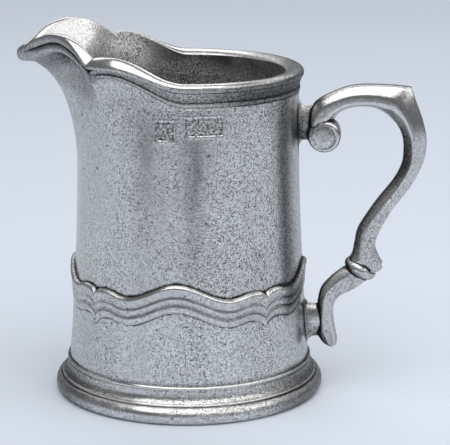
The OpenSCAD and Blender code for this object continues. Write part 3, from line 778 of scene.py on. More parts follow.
def mouth_rows(m, c):
    """Points of the mouth's columns, from the outer seam over the lip to the inner seam."""
    run = c["lip"] - c["seam"]
    reach = np.linalg.norm(run, axis=1)[:, None]
    out = run / reach
    beak, shoulder, notch = (c[k][:, None] for k in ("beak", "shoulder", "notch"))
    level = 1 - shoulder - notch - beak
    rim, side, tip, dent = (spline(section, 3) for section in (RIM_SECTION, SHOULDER_SECTION, BEAK_SECTION,
                                                               NOTCH_SECTION))
    place, height = (level * rim[:, i] + shoulder * side[:, i] + notch * dent[:, i] + beak * tip[:, i]
                     for i in (0, 1))
    rounded = NOSE * (np.sqrt(np.clip(1 - (2 * height - 1) ** 2, 0, 1)) - 1)
    crown = int(tip[:, 1].argmax())
    rounded[:, crown:] = place[:, crown:] - place[:, crown:crown + 1] - NOSE
    place = mix(place, rounded, c["nose"][:, None])
    z0, z0_in, lip_z, band, drop = (c[k][:, None] for k in ("z0", "z0_in", "lip_z", "band", "drop"))
    under = reach + place[:, :1] - BEAK_STEP * beak ** 2
    zb = lip_z - band - drop
    v = np.linspace(0, 1, FUNNEL_ROWS + 1)[None, :]
    flare = SOFT_FLARE * v ** 2 + SHARP_FLARE * v ** 8
    outer_o, outer_z = under * flare, mix(z0, zb, v)
    below = 1 - height[:, 1:]
    band_o, band_z = reach + place[:, 1:], lip_z - band * below - drop * below ** 3
    # the inside lies square behind the outside, at the wall's thickness
    v = INNER_TOP * np.linspace(1, 0, FUNNEL_ROWS + 1)[None, :-1]
    flare = SOFT_FLARE * v ** 2 + SHARP_FLARE * v ** 8
    slope = under * (2 * SOFT_FLARE * v + 8 * SHARP_FLARE * v ** 7)
    rise = zb - z0
    inset = m.wall_t / np.hypot(slope, rise)
    inner_o = under * flare - inset * rise
    inner_z = mix(z0, zb, v) + inset * slope + (z0_in - z0) * (1 - v)

    def stand(o, z):
        xy = c["seam"][:, None, :] + out[:, None, :] * o[..., None]
        return np.concatenate([xy, np.broadcast_to(z, o.shape)[..., None]], -1)

    inside = stand(inner_o, inner_z)
    low = c["seam_in"][:, None, :] + out[:, None, :] * (under * flare)[..., None]
    inside[..., :2] = mix(low, inside[..., :2], smooth(v * 1.6)[..., None])
    last = np.concatenate([c["seam_in"], c["z0_in"][:, None]], 1)[:, None, :]
    return np.concatenate([stand(outer_o, outer_z), stand(band_o, band_z), inside, last], 1)


# Cartouches on the front: middle across and up, width and height, in millimetres
CARTOUCHES = ((6.95, 76.5, 10.2, 5.0), (-3.15, 75.4, 5.4, 5.2))


def beyond(u, v, width, height):
    """How far a point lies outside an oblong. It is negative inside."""
    return np.maximum(np.abs(u) - width / 2, np.abs(v) - height / 2)


def stamp(u, v, width, height):
    """Worn blank cartouche: a low raised frame round a pitted field, in millimetres."""
    d = beyond(u, v, width, height)
    field = smooth((-d - 0.2) / 0.25)
    pits = lumps(np.stack([u, v, 0 * u], -1), 0.62, 0.34) if field.any() else 0
    return 0.07 * bell(d, 0.24) - 0.17 * bell(d + 0.34, 0.22) + field * (pits - 0.13)


def cartouches(m, turn, z):
    """Place across and up from the middle of each cartouche on the front, with its width and height."""
    front = (turn + math.pi / 2 + math.pi) % math.tau - math.pi
    u = m.wall_top_r * front + 0 * z
    return [(u - across, z - up, width, height) for across, up, width, height in CARTOUCHES]


def wall_marks(m, turn, z):
    """Marks on the outside of the drum: two blank cartouches on the front, and grooves under the belt's cusps."""
    marks = sum(stamp(*place) for place in cartouches(m, turn, z))
    cusp = turn % (math.pi / 2) - math.pi / 4
    across = m.wall_foot_r * cusp
    fade = smooth((z - 22.5) / 5.5) * (z < 33)
    spread = 0.35 + np.clip(28.5 - z, 0, 6) * 0.16
    return marks + fade * (0.16 * bell(np.abs(across) - spread - 0.35, 0.42) - 0.26 * bell(across, 0.34))


# Line of the crease beside the spout: angle from the spout in degrees, height in millimetres, depth
CREASE = [(46, 86.8, 0.0), (43, 86, 0.06), (41, 85, 0.16), (38.5, 83.2, 0.26), (37, 80, 0.28),
          (36.2, 76, 0.24), (36, 71, 0.16), (36.5, 66, 0.08), (37.5, 60, 0.0)]
CREASE_WIDTH = 0.8   # in millimetres
DEGREE = 0.52        # length of one degree round the drum there, in millimetres


def spout_crease(grid):
    """Depth of the soft crease where the spout's flare leaves the drum, on both sides."""
    line = spline(CREASE, 6)
    turn = np.abs(np.degrees(np.arctan2(grid[..., 1], -grid[..., 0])))
    depth = np.zeros(turn.shape)
    near = (turn < 60) & (turn > 25)
    at = np.column_stack([turn[near] * DEGREE, grid[..., 2][near]])
    gap = np.linalg.norm(at[:, None, :] - line[None, :, :2] * (DEGREE, 1), axis=-1)
    best = gap.argmin(1)
    depth[near] = line[best, 2] * bell(gap.min(1), CREASE_WIDTH)
    return depth


CLEFT_DEPTH, CLEFT_WIDTH = 0.26, 0.75   # cleft between the spout's moulding and the rim's, in millimetres


def cast_skin(m):
    """Grid of points of the drum, rim and spout by column and row, its normals, and the rows of the two seams."""
    # columns and rows lie closer together at the notches, the cartouches and the belt
    notch = math.degrees(m.notch_angle)
    t = np.radians(ladder([(notch, 0.45), (notch + 12, 0.9), (77, 0.5), (115, 1.1), (238, 1.1),
                           (348 - notch, 0.45), (360 - notch, 1)]))
    u = np.linspace(-1, 1, 121)
    s = (np.sign(u) * np.abs(u) ** 1.35)[1:-1]
    rim, spout = rim_columns(m, t), spout_columns(m, s)
    c = {k: np.concatenate([rim[k], spout[k]]) for k in rim}
    levels = ladder([(m.ledge_h, 3.0), (m.foot_h - 0.4, 0.8), (22, 0.5), (40, 1.4), (71.5, 0.27), (m.seat_z, 1)])
    k = (levels - m.ledge_h) / (m.seat_z - m.ledge_h)
    turn = np.arctan2(c["seam"][:, 1], c["seam"][:, 0])[:, None]
    z = mix(m.ledge_h, c["z0"][:, None], k[None, :])
    settle = smooth((c["z0"][:, None] - z) / 3)
    r = m.wall_r(z) + wall_marks(m, turn, z) * settle
    outer = np.stack([r * np.cos(turn), r * np.sin(turn), z], -1)
    outer[:, -1, :2] = c["seam"]
    k = np.linspace(0, 1, 31)[None, 1:]
    z = mix(c["z0_in"][:, None], m.ledge_h, k)
    turn = np.arctan2(c["seam_in"][:, 1], c["seam_in"][:, 0])[:, None]
    r = m.wall_r(z) - m.wall_t
    inner = np.stack([r * np.cos(turn), r * np.sin(turn), z], -1)
    mouth = mouth_rows(m, c)
    grid = np.concatenate([outer, mouth[:, 1:], inner], 1)
    top, low = outer.shape[1] - 1, outer.shape[1] + mouth.shape[1] - 2
    edge = low - FUNNEL_ROWS
    for column in grid:
        column[edge - 1:] = eased(column[edge - 1:], FUNNEL_ROWS + 1, 3.0)
    blend_inside(grid, edge, len(t))
    normals = skin_normals(grid)
    # the cleft lies on both sides of the two notches, across the moulding
    gap = np.minimum(np.linalg.norm(grid[..., :2] - grid[:1, :, :2], axis=-1),
                     np.linalg.norm(grid[..., :2] - grid[len(t) - 1:len(t), :, :2], axis=-1))
    row = np.arange(grid.shape[1])
    first, last = top + FUNNEL_ROWS + 24, top + FUNNEL_ROWS + 66
    band = smooth((row - first) / 12) * smooth((last - row) / 10)
    push = -CLEFT_DEPTH * bell(gap, CLEFT_WIDTH) * band - spout_crease(grid) * (row < top + FUNNEL_ROWS)
    push += lumps(grid, 9.0, 0.07) + lumps(grid + 40.0, 3.4, 0.022)
    push[:, :4] = push[:, -3:] = 0
    grid = grid + normals * push[..., None]
    return grid, skin_normals(grid), top, low, len(t)


def blend_inside(grid, edge, count):
    """Evens out the inside of the skin across the two notches, below the lip."""
    turns = np.arange(len(grid))
    off = np.minimum(np.minimum(turns, len(grid) - turns), np.abs(turns - count + 1))
    weight = smooth((34 - off) / 20)[:, None] * smooth((np.arange(grid.shape[1] - edge) - 2) / 9)[None, :]
    for _ in range(160):
        part = grid[:, edge:]
        part += weight[..., None] * 0.25 * (np.roll(part, 1, 0) - 2 * part + np.roll(part, -1, 0))


def eased(line, split, reach):
    """The same line with its corners eased over a reach in millimetres, and the same number of points up to split."""
    steps = np.linalg.norm(np.diff(line, axis=0), axis=1)
    at = np.concatenate([[0], np.cumsum(steps)])
    count = max(40, int(at[-1] / 0.5))
    even = np.linspace(0, at[-1], count)
    fine = np.column_stack([np.interp(even, at, line[:, i]) for i in range(3)])
    for _ in range(int(4 * (reach / (even[1] - even[0])) ** 2)):
        fine[1:-1] += 0.25 * (fine[:-2] - 2 * fine[1:-1] + fine[2:])
    places = np.concatenate([np.linspace(0, at[split], split + 1),
                             np.linspace(at[split], at[-1], len(line) - split)[1:]])
    return np.column_stack([np.interp(places, even, fine[:, i]) for i in range(3)])


def skin_normals(grid):
    """Outward directions of a grid of points."""
    round_about = np.roll(grid, -1, 0) - np.roll(grid, 1, 0)
    up = np.gradient(grid, axis=1)
    return unit_rows(np.cross(round_about, up))


def skin_piece(name, grid, normals, columns, rows, closed):
    """Mesh of a part of the skin, closed by seam faces, that keeps the whole skin's normals on its outside."""
    count = len(rows)
    points = grid[np.ix_(columns, rows)].reshape(-1, 3)
    smooth_normals = normals[np.ix_(columns, rows)].reshape(-1, 3)
    faces, kept = [], []
    spans = len(columns) if closed else len(columns) - 1
    for i in range(spans):
        a, b = i * count, (i + 1) % len(columns) * count
        for j in range(count):
            k = (j + 1) % count
            faces.append((a + j, b + j, b + k, a + k))
            kept.append(abs(rows[k] - rows[j]) == 1)
    if not closed:
        faces += [tuple(range(count)), tuple((len(columns) - 1) * count + j for j in range(count - 1, -1, -1))]
        kept += [False, False]
    mesh = solid_mesh(name, points, faces)
    loops = []
    for polygon, keep in zip(mesh.polygons, kept):
        for vertex in polygon.vertices:
            loops.append(tuple(smooth_normals[vertex]) if keep else tuple(polygon.normal))
    mesh.normals_split_custom_set(loops)
    seam = mesh.attributes.new("seam", "BOOLEAN", "FACE")
    seam.data.foreach_set("value", [not keep for keep in kept])
    return mesh


class CREAMER_OT_cast_body(Operator):
    """Cast the drum, the rim with its shoulders and the beaked spout"""
    bl_idname = "creamer.cast_body"
    bl_label = "Drum, Rim and Spout"

    def execute(self, context):
        m, look = sizes_and_finishes(context)
        grid, normals, top, low, rim_count = cast_skin(m)
        every = list(range(grid.shape[0]))
        mouth = list(range(top, low + 1))
        wall = list(range(top + 1)) + list(range(low, grid.shape[1]))
        pieces = (("drum", every, wall, True, "drum", "drum_wall"),
                  ("rim", every[:rim_count], mouth, False, "mouth", "rim_band"),
                  ("spout_casting", every[rim_count - 1:] + [0], mouth, False, "mouth", "spout"))
        for name, columns, rows, closed, finish, node in pieces:
            mesh = skin_piece(name, grid, normals, columns, rows, closed)
            new_piece(name, mesh, look[finish], "cast_pewter", node)
        return {"FINISHED"}


# Foot, floor, solder and collar, all turned

def profile_mesh(name, points):
    """Closed line of a profile, radius along X and height along Z."""
    p = np.asarray(points) * TO_METRES
    count = len(p)
    mesh = bpy.data.meshes.new(name)
    mesh.from_pydata([(x, 0, z) for x, z in p], [(i, (i + 1) % count) for i in range(count)], [])
    return mesh


def foot_profile(m):
    """Section of the foot from its bead over the cove and the torus to the ledge inside, in millimetres."""
    top = m.foot_h - 1.0
    seat = float(m.wall_r(top))
    bead_r, torus_r, torus_z, torus_h = 0.55, 2.6, 2.1, 4.7
    bead_x = seat + 0.15
    cove_x, shelf_x, shelf_z = bead_x + bead_r - 0.15, m.foot_r - 2.0, torus_h + 0.45
    u = np.linspace(0, 1, 19)
    cove = np.column_stack([mix(cove_x, shelf_x, 0.14 * u + 0.86 * u ** 4), mix(top - 1.2, shelf_z, u)])
    rest_in = m.foot_r - 5.5
    ledge_in = m.floor_r - m.ledge_w
    inside = [(float(m.wall_r(z)) + 0.02, z) for z in np.linspace(m.ledge_h, top - 0.8, 5)]
    return np.vstack([
        [(seat, top - 0.1)],
        arc(bead_x, top - bead_r, bead_r, 90, -50, 10),
        cove,
        arc(shelf_x, shelf_z - 0.32, 0.32, 70, -35, 7),
        [(shelf_x + 0.24, torus_h - 0.12), (shelf_x + 0.34, torus_h - 0.2)],
        arc(m.foot_r - torus_r, torus_z, torus_r, 62, -40, 20),
        arc(m.foot_r - 1.3, 0.3, 0.3, -50, -90, 3),
        [(rest_in + 0.3, 0), (rest_in, 0.1), (rest_in - 0.9, 0.9), (ledge_in, 0.9), (ledge_in, m.ledge_h)],
        inside])


class CREAMER_OT_turn_rings(Operator):
    """Turn the foot ring, the floor, its run of solder and the handle's collar"""
    bl_idname = "creamer.turn_rings"
    bl_label = "Foot, Floor and Collar"

    def execute(self, context):
        m, look = sizes_and_finishes(context)
        tree = turned_ring_tree()
        disc = [(0, m.ledge_h), (m.floor_r - 0.02, m.ledge_h), (m.floor_r - 0.02, m.disc_top - 0.1),
                (m.floor_r - 0.1, m.disc_top), (m.floor_r * 0.8, m.disc_top), (m.floor_r * 0.4, m.disc_top - 0.1),
                (0, m.disc_top - 0.12)]
        run_top = m.disc_top + m.solder_leg
        run_r = float(m.wall_r(run_top)) - m.wall_t
        run = np.vstack([[(m.floor_r - 0.02, m.disc_top - 0.05)],
                         arc(run_r - m.solder_leg, run_top, m.solder_leg, 0, -90, 10)])
        half = m.collar_l / 2 + 0.5
        ring = np.vstack([[(0, -half), (m.collar_r - half - 0.3, -half)],
                          arc(m.collar_r - half, 0, half, -85, 85, 18),
                          [(m.collar_r - half - 0.3, half), (0, half)]])
        centre, tilt = collar_seat(m)
        jobs = (("foot", foot_profile(m), 288, 0.00016, 90.0, "foot", "cast_pewter", "foot_ring"),
                ("floor", disc, 128, 0.0001, 90.0, "drum", "cast_pewter", "base_disc"),
                ("solder_run", run, 192, 0.0005, 320.0, "solder", "solder", "floor_solder"),
                ("collar", ring, 64, 0.00025, 420.0, "handle", "cast_pewter", "handle_collar"))
        for name, profile, steps, rough, scale, finish, slot, node in jobs:
            on_handle = name == "collar"
            mesh = grow(profile_mesh(name, profile), tree, **{
                "Steps": steps, "Unevenness": rough, "Lump Scale": scale, "Finish": look[finish],
                "Tilt": tilt if on_handle else 0.0,
                "Centre": [v * TO_METRES for v in centre] if on_handle else (0.0, 0.0, 0.0)})
            new_piece(name, mesh, look[finish], slot, node)
        return {"FINISHED"}


class CREAMER_OT_cast_belt(Operator):
    """Cast the scalloped belt round the drum"""
    bl_idname = "creamer.cast_belt"
    bl_label = "Scalloped Belt"

    def execute(self, context):
        m, look = sizes_and_finishes(context)
        lengths = {"Crest Height": m.belt_z, "Height": m.belt_h, "Relief": m.belt_relief, "Wave": m.belt_wave,
                   "Wall Radius": m.wall_top_r, "Wall Flare": m.wall_foot_r - m.wall_top_r,
                   "Flare Top": m.seat_z, "Flare Length": m.seat_z - m.foot_h}
        mesh = grow(bpy.data.meshes.new("belt_moulding"), scalloped_belt_tree(), **{
            "Panels": m.belt_panels, "Finish": look["belt"],
            **{name: value * TO_METRES for name, value in lengths.items()}})
        mesh.name = "belt_moulding"
        mesh.transform(Matrix.Rotation(math.radians(-90 - 180 / m.belt_panels), 4, "Z"))
        new_piece("belt_moulding", mesh, look["belt"], "cast_pewter", "belt")
        return {"FINISHED"}


# Handle

# Stations of a scroll: back edge (out, up) and belly edge (out, up) in hundredths of the spacing of the struts,
# then the section's shares: cheek width, back width, belly width, start and end of the flat cheek,
# and the depth of the hollows in the back and in the cheeks, in millimetres
GRIP = [
    (0.3, 94.4, 8.1, 94.4, 1, 0.66, 0.6, 0.3, 0.7, 0, 0),
    (0.4, 101.9, 10, 99.6, 1, 0.66, 0.6, 0.25, 0.7, 0, 0),
    (3.3, 109.6, 13.2, 103, 1, 0.6, 0.6, 0.2, 0.64, 0, 0),
    (11.7, 115, 16.9, 106.5, 1, 0.5, 0.6, 0.14, 0.6, 0, 0),
    (22.9, 118.9, 23.7, 108.7, 1, 0.46, 0.6, 0.12, 0.58, 0, 0),
    (35.7, 119.4, 32, 108.5, 1, 0.46, 0.6, 0.14, 0.56, 0, 0),
    (49.4, 118.5, 38.5, 105.4, 1, 0.46, 0.5, 0.24, 0.5, 0, 0),
    (50.9, 117, 40, 104.1, 1, 0.46, 0.5, 0.26, 0.5, 0, 0),
    (52.8, 111.7, 43.3, 100.2, 1, 0.46, 0.4, 0.32, 0.5, 0, 0),
    (56.3, 101.3, 45.5, 95.4, 1, 0.5, 0.36, 0.36, 0.5, 0.05, 0),
    (57.6, 91.7, 46.3, 88.9, 1, 0.44, 0.34, 0.4, 0.48, 0, 0),
    (55.6, 81.1, 45.2, 80.7, 0.98, 0.44, 0.34, 0.4, 0.46, 0, 0),
    (49.8, 70, 40.7, 72.2, 0.95, 0.5, 0.34, 0.36, 0.5, 0, 0),
    (39.6, 56.7, 31.6, 60.7, 0.92, 0.6, 0.4, 0.34, 0.58, 0.1, 0),
    (33.3, 45.9, 23.2, 48.1, 0.92, 0.72, 0.42, 0.32, 0.7, 0.3, 0.15),
    (31.2, 38.5, 21.2, 40.7, 0.96, 0.82, 0.42, 0.32, 0.8, 0.5, 0.25),
    (33.1, 32.2, 20.3, 36.1, 1, 0.88, 0.5, 0.28, 0.86, 0.55, 0.35),
    (34.8, 28.7, 19.7, 34.3, 1.02, 0.88, 0.6, 0.26, 0.86, 0.35, 0.25),
    (30.9, 25.6, 18.8, 32.6, 0.98, 0.72, 0.62, 0.24, 0.78, 0, 0),
]
TAIL = [
    (20.3, 16.9, 13.6, 25.9, 0.82, 0.6, 0.6, 0.3, 0.66, 0.15, 0.05),
    (13.2, 13.1, 8, 21.3, 0.8, 0.6, 0.55, 0.32, 0.76, 0.3, 0.15),
    (10.2, 8.9, 3.7, 16.1, 0.8, 0.64, 0.5, 0.36, 0.86, 0.4, 0.25),
    (9.5, 3.5, 1.9, 9.1, 0.82, 0.68, 0.46, 0.38, 0.88, 0.45, 0.3),
    (9.7, -1.1, 1.1, 0.7, 0.82, 0.7, 0.46, 0.38, 0.9, 0.45, 0.3),
    (10.4, -6.1, 1.3, -6.3, 0.82, 0.7, 0.46, 0.38, 0.9, 0.4, 0.3),
    (11.1, -10.4, 4.1, -11.5, 0.7, 0.6, 0.46, 0.36, 0.84, 0.2, 0.2),
    (10.3, -13, 7.7, -13.9, 0.34, 0.5, 0.6, 0.36, 0.56, 0, 0),
]
SCROLL_POINTS = 80   # points round one section of a scroll
BACK, CHEEKS = 3, (1, 5)   # sides of a section, counted from the belly


def placed(m, stations):
    """The stations with their edges in millimetres."""
    return np.array([(*m.place(s[0], s[1]), *m.place(s[2], s[3]), *s[4:]) for s in stations])


def even_rows(rows, step=0.4):
    """The stations of a scroll at even steps along it, in millimetres."""
    moved = np.diff(rows[:, :4], axis=0)
    at = np.concatenate([[0], np.cumsum(np.hypot(moved[:, 0::2].mean(1), moved[:, 1::2].mean(1)))])
    even = np.linspace(0, at[-1], int(at[-1] / step))
    return np.column_stack([np.interp(even, at, rows[:, i]) for i in range(rows.shape[1])])


def collar_seat(m):
    """Middle of the collar, square on the grip's end face, and its tilt."""
    back_x, back_z, belly_x, belly_z = placed(m, GRIP[-1:])[0][:4]
    tilt = math.atan2(back_z - belly_z, back_x - belly_x)
    x = (back_x + belly_x) / 2 + math.sin(tilt) * m.collar_l / 2
    z = (back_z + belly_z) / 2 - math.cos(tilt) * m.collar_l / 2
    return (x, 0.0, z), -tilt


def tail_stations(m):
    """Stations of the lower scroll, from the collar down."""
    (x, _, z), tilt = collar_seat(m)
    down = m.collar_l / 2
    x, z = x - math.sin(tilt) * down, z - math.cos(tilt) * down
    reach = m.collar_r - 1.3
    dx, dz = reach * math.cos(tilt), -reach * math.sin(tilt)
    first = [(x + dx, z + dz, x - dx, z - dz, 0.88, 0.66, 0.6, 0.28, 0.7, 0, 0)]
    return np.vstack([first, placed(m, TAIL)])


def scroll_ring(m, row, round_mm=0.6):
    """One section of a scroll between its back and its belly, with worn edges and a hollow back."""
    back, belly = row[0:2], row[2:4]
    tall = np.linalg.norm(back - belly)
    w = m.cheek_w * row[4]
    wb, wi, lo, hi, hollow, flute = w * row[5], w * row[6], row[7] * tall, row[8] * tall, row[9], row[10]
    outline = np.array([(-wi, 0), (-w, lo), (-w, hi), (-wb, tall), (wb, tall), (w, hi), (w, lo), (wi, 0)])
    ring = []

    def eased_end(corner, other):
        """Where the rounding of a corner ends on the side towards another."""
        return corner + (other - corner) * min(0.45, round_mm / np.linalg.norm(other - corner))

    for i, here in enumerate(outline):
        before, after = outline[i - 1], outline[(i + 1) % len(outline)]
        a, b, nxt = eased_end(here, before), eased_end(here, after), eased_end(after, here)
        for u in np.linspace(0, 1, 5):
            ring.append(mix(mix(a, here, u), mix(here, b, u), u))
        for u in np.linspace(0, 1, 7)[1:-1]:
            p = mix(b, nxt, u)
            if i == BACK:
                p = p - np.array([0, hollow * (1 - (p[0] / wb) ** 2)])
            if i in CHEEKS:
                p = p * (1 - flute / w * math.sin(math.pi * u), 1)
            ring.append(p)
    ring = np.array(ring)
    k = ring[:, 1:] / tall
    xz = mix(belly, back, k)
    return np.column_stack([xz[:, 0], ring[:, 0], xz[:, 1]])


def volute_centre(m):
    """Middle of the volute, which bears on the upper strut."""
    x, z = m.place(0, GRIP[0][1])
    return x + m.volute_r, z


def volute(m, centre):
    """The rolled end of the upper scroll: a drum with a spiral groove round a raised eye on both sides."""
    around, rings = 96, 26
    r = m.volute_r * np.linspace(0, 1, rings + 1)[1:]
    turn = np.linspace(0, math.tau, around, endpoint=False)
    start = math.radians(50)
    groove = mix(m.volute_r + 0.1, m.eye_r, (((turn - start) % math.tau) / math.tau) ** 0.7)[None, :]
    rr = r[:, None]
    # groove, rounded edge and raised eye
    rise = 0.2 - 0.3 * bell(rr - groove, 0.4) - 0.6 * smooth((rr - m.volute_r + 1.0) / 1.0) ** 2
    rise = rise + 0.16 * np.sqrt(np.clip(1 - (rr / m.eye_r) ** 4, 0, 1))
    x, z = centre[0] + rr * np.cos(turn), centre[1] + rr * np.sin(turn)
    front = np.stack([x, -(m.cheek_w + rise), z], -1)
    back = np.stack([x, m.cheek_w + rise, z], -1)[::-1]
    edge = np.stack([np.repeat(x[-1:], 5, 0), np.linspace(-0.8, 0.8, 5)[:, None] * m.cheek_w + 0 * x[-1:],
                     np.repeat(z[-1:], 5, 0)], -1)
    return tube(np.concatenate([front, edge, back]))


class CREAMER_OT_cast_scrolls(Operator):
    """Cast the upper scroll with its volute and the lower scroll of the handle"""
    bl_idname = "creamer.cast_scrolls"
    bl_label = "Handle Scrolls"

    def execute(self, context):
        m, look = sizes_and_finishes(context)
        strip, strip_faces = tube([scroll_ring(m, row) for row in even_rows(spline(placed(m, GRIP), 9))])
        roll, roll_faces = volute(m, volute_centre(m))
        tail, tail_faces = tube([scroll_ring(m, row, 0.4) for row in even_rows(spline(tail_stations(m), 9))])
        strip_faces, roll_faces = outward(strip, strip_faces), outward(roll, roll_faces)
        joined = strip_faces + [[i + len(strip) for i in f] for f in roll_faces]
        for name, points, faces, node in (
                ("upper_scroll", np.vstack([strip, roll]), joined, "handle_grip"),
                ("lower_scroll", tail, outward(tail, tail_faces), "handle_tail")):
            points = points + np.column_stack([lumps(points + shift, 5.0, 0.06) for shift in (0, 30, 60)])
            mesh = solid_mesh(name, points, faces)
            soften(mesh, 5)
            soften(mesh, 36, SCROLL_POINTS)
            new_piece(name, mesh, look["handle"], "cast_pewter", node)
        return {"FINISHED"}


def strut_rings(m, height, face, sunk):
    """Rings of an oblong neck, flared at both ends, from the drum to a face of the handle and a little into it."""
    around, rings = 48, []
    a = -np.linspace(0, math.tau, around, endpoint=False)
    for k in np.linspace(0, 1, 21):
        # broad on the drum, narrow at the waist and a little broader at the handle
        swell = 1 + 0.35 * max(0, 1 - 2 * k) ** 2 + 0.12 * max(0, 2 * k - 1) ** 3 + 0.16 * max(0, 1 - 6 * k) ** 2
        y = m.strut_w / 2 * swell * np.cos(a)
        z = height + m.strut_h / 2 * min(swell, 1.36) * np.sin(a)
        start = np.sqrt(m.wall_r(z) ** 2 - y ** 2) - 0.15
        rings.append(np.column_stack([mix(start, face(z) + sunk, k), y, z]))
    return rings


class CREAMER_OT_cast_struts(Operator):
    """Cast the two necks that hold the handle to the drum"""
    bl_idname = "creamer.cast_struts"
    bl_label = "Struts"

    def execute(self, context):
        m, look = sizes_and_finishes(context)
        grip, tail = spline(placed(m, GRIP), 4), spline(tail_stations(m), 4)
        x, z = volute_centre(m)

        def grip_face(at):
            roll = x - np.sqrt(np.maximum(0, m.volute_r ** 2 - (at - z) ** 2))
            return np.where(at > z, np.interp(at, grip[:13, 1], grip[:13, 0]), roll)

        def tail_face(at):
            return np.interp(at, tail[::-1, 3], tail[::-1, 2])

        for name, height, face, sunk in (("upper_neck", m.upper_strut_z, grip_face, 0.25),
                                         ("lower_neck", m.lower_strut_z, tail_face, 1.5)):
            points, faces = tube(strut_rings(m, height, face, sunk))
            mesh = solid_mesh(name, points, outward(points, faces))
            crease(mesh, 60)
            new_piece(name, mesh, look["strut"], "cast_pewter", name.replace("neck", "strut"))
        return {"FINISHED"}


# Ageing and painted shade

PIECES = ("drum", "rim", "spout_casting", "foot", "floor", "solder_run", "belt_moulding", "upper_neck",
          "lower_neck", "upper_scroll", "collar", "lower_scroll")
# Pieces that show inside the jug, those of the handle, and those that get a painted dark reflection of the handle
# beside it
INSIDE = ("drum", "rim", "spout_casting", "floor", "solder_run")
SCROLLS = ("upper_scroll", "collar", "lower_scroll")
PAINTED_REFLECTION_PIECES = ("drum", "rim", "belt_moulding")
# How rough a skin the other castings have
RAW = {"floor": 0.8, "upper_neck": 0.15, "lower_neck": 0.25, "belt_moulding": 0.1, "foot": 0.1}


def bevelled(normals):
    """How far each point lies on metal that faces upwards, as the top of the lip does."""
    return smooth((normals[:, 2] - 0.12) / 0.3)


def hemisphere(count):
    """Evenly spread directions about +Z, denser towards the pole."""
    i = np.arange(count) + 0.5
    r, turn = np.sqrt(i / count), i * math.pi * (3 - math.sqrt(5))
    return np.column_stack([r * np.cos(turn), r * np.sin(turn), np.sqrt(1 - r * r)])


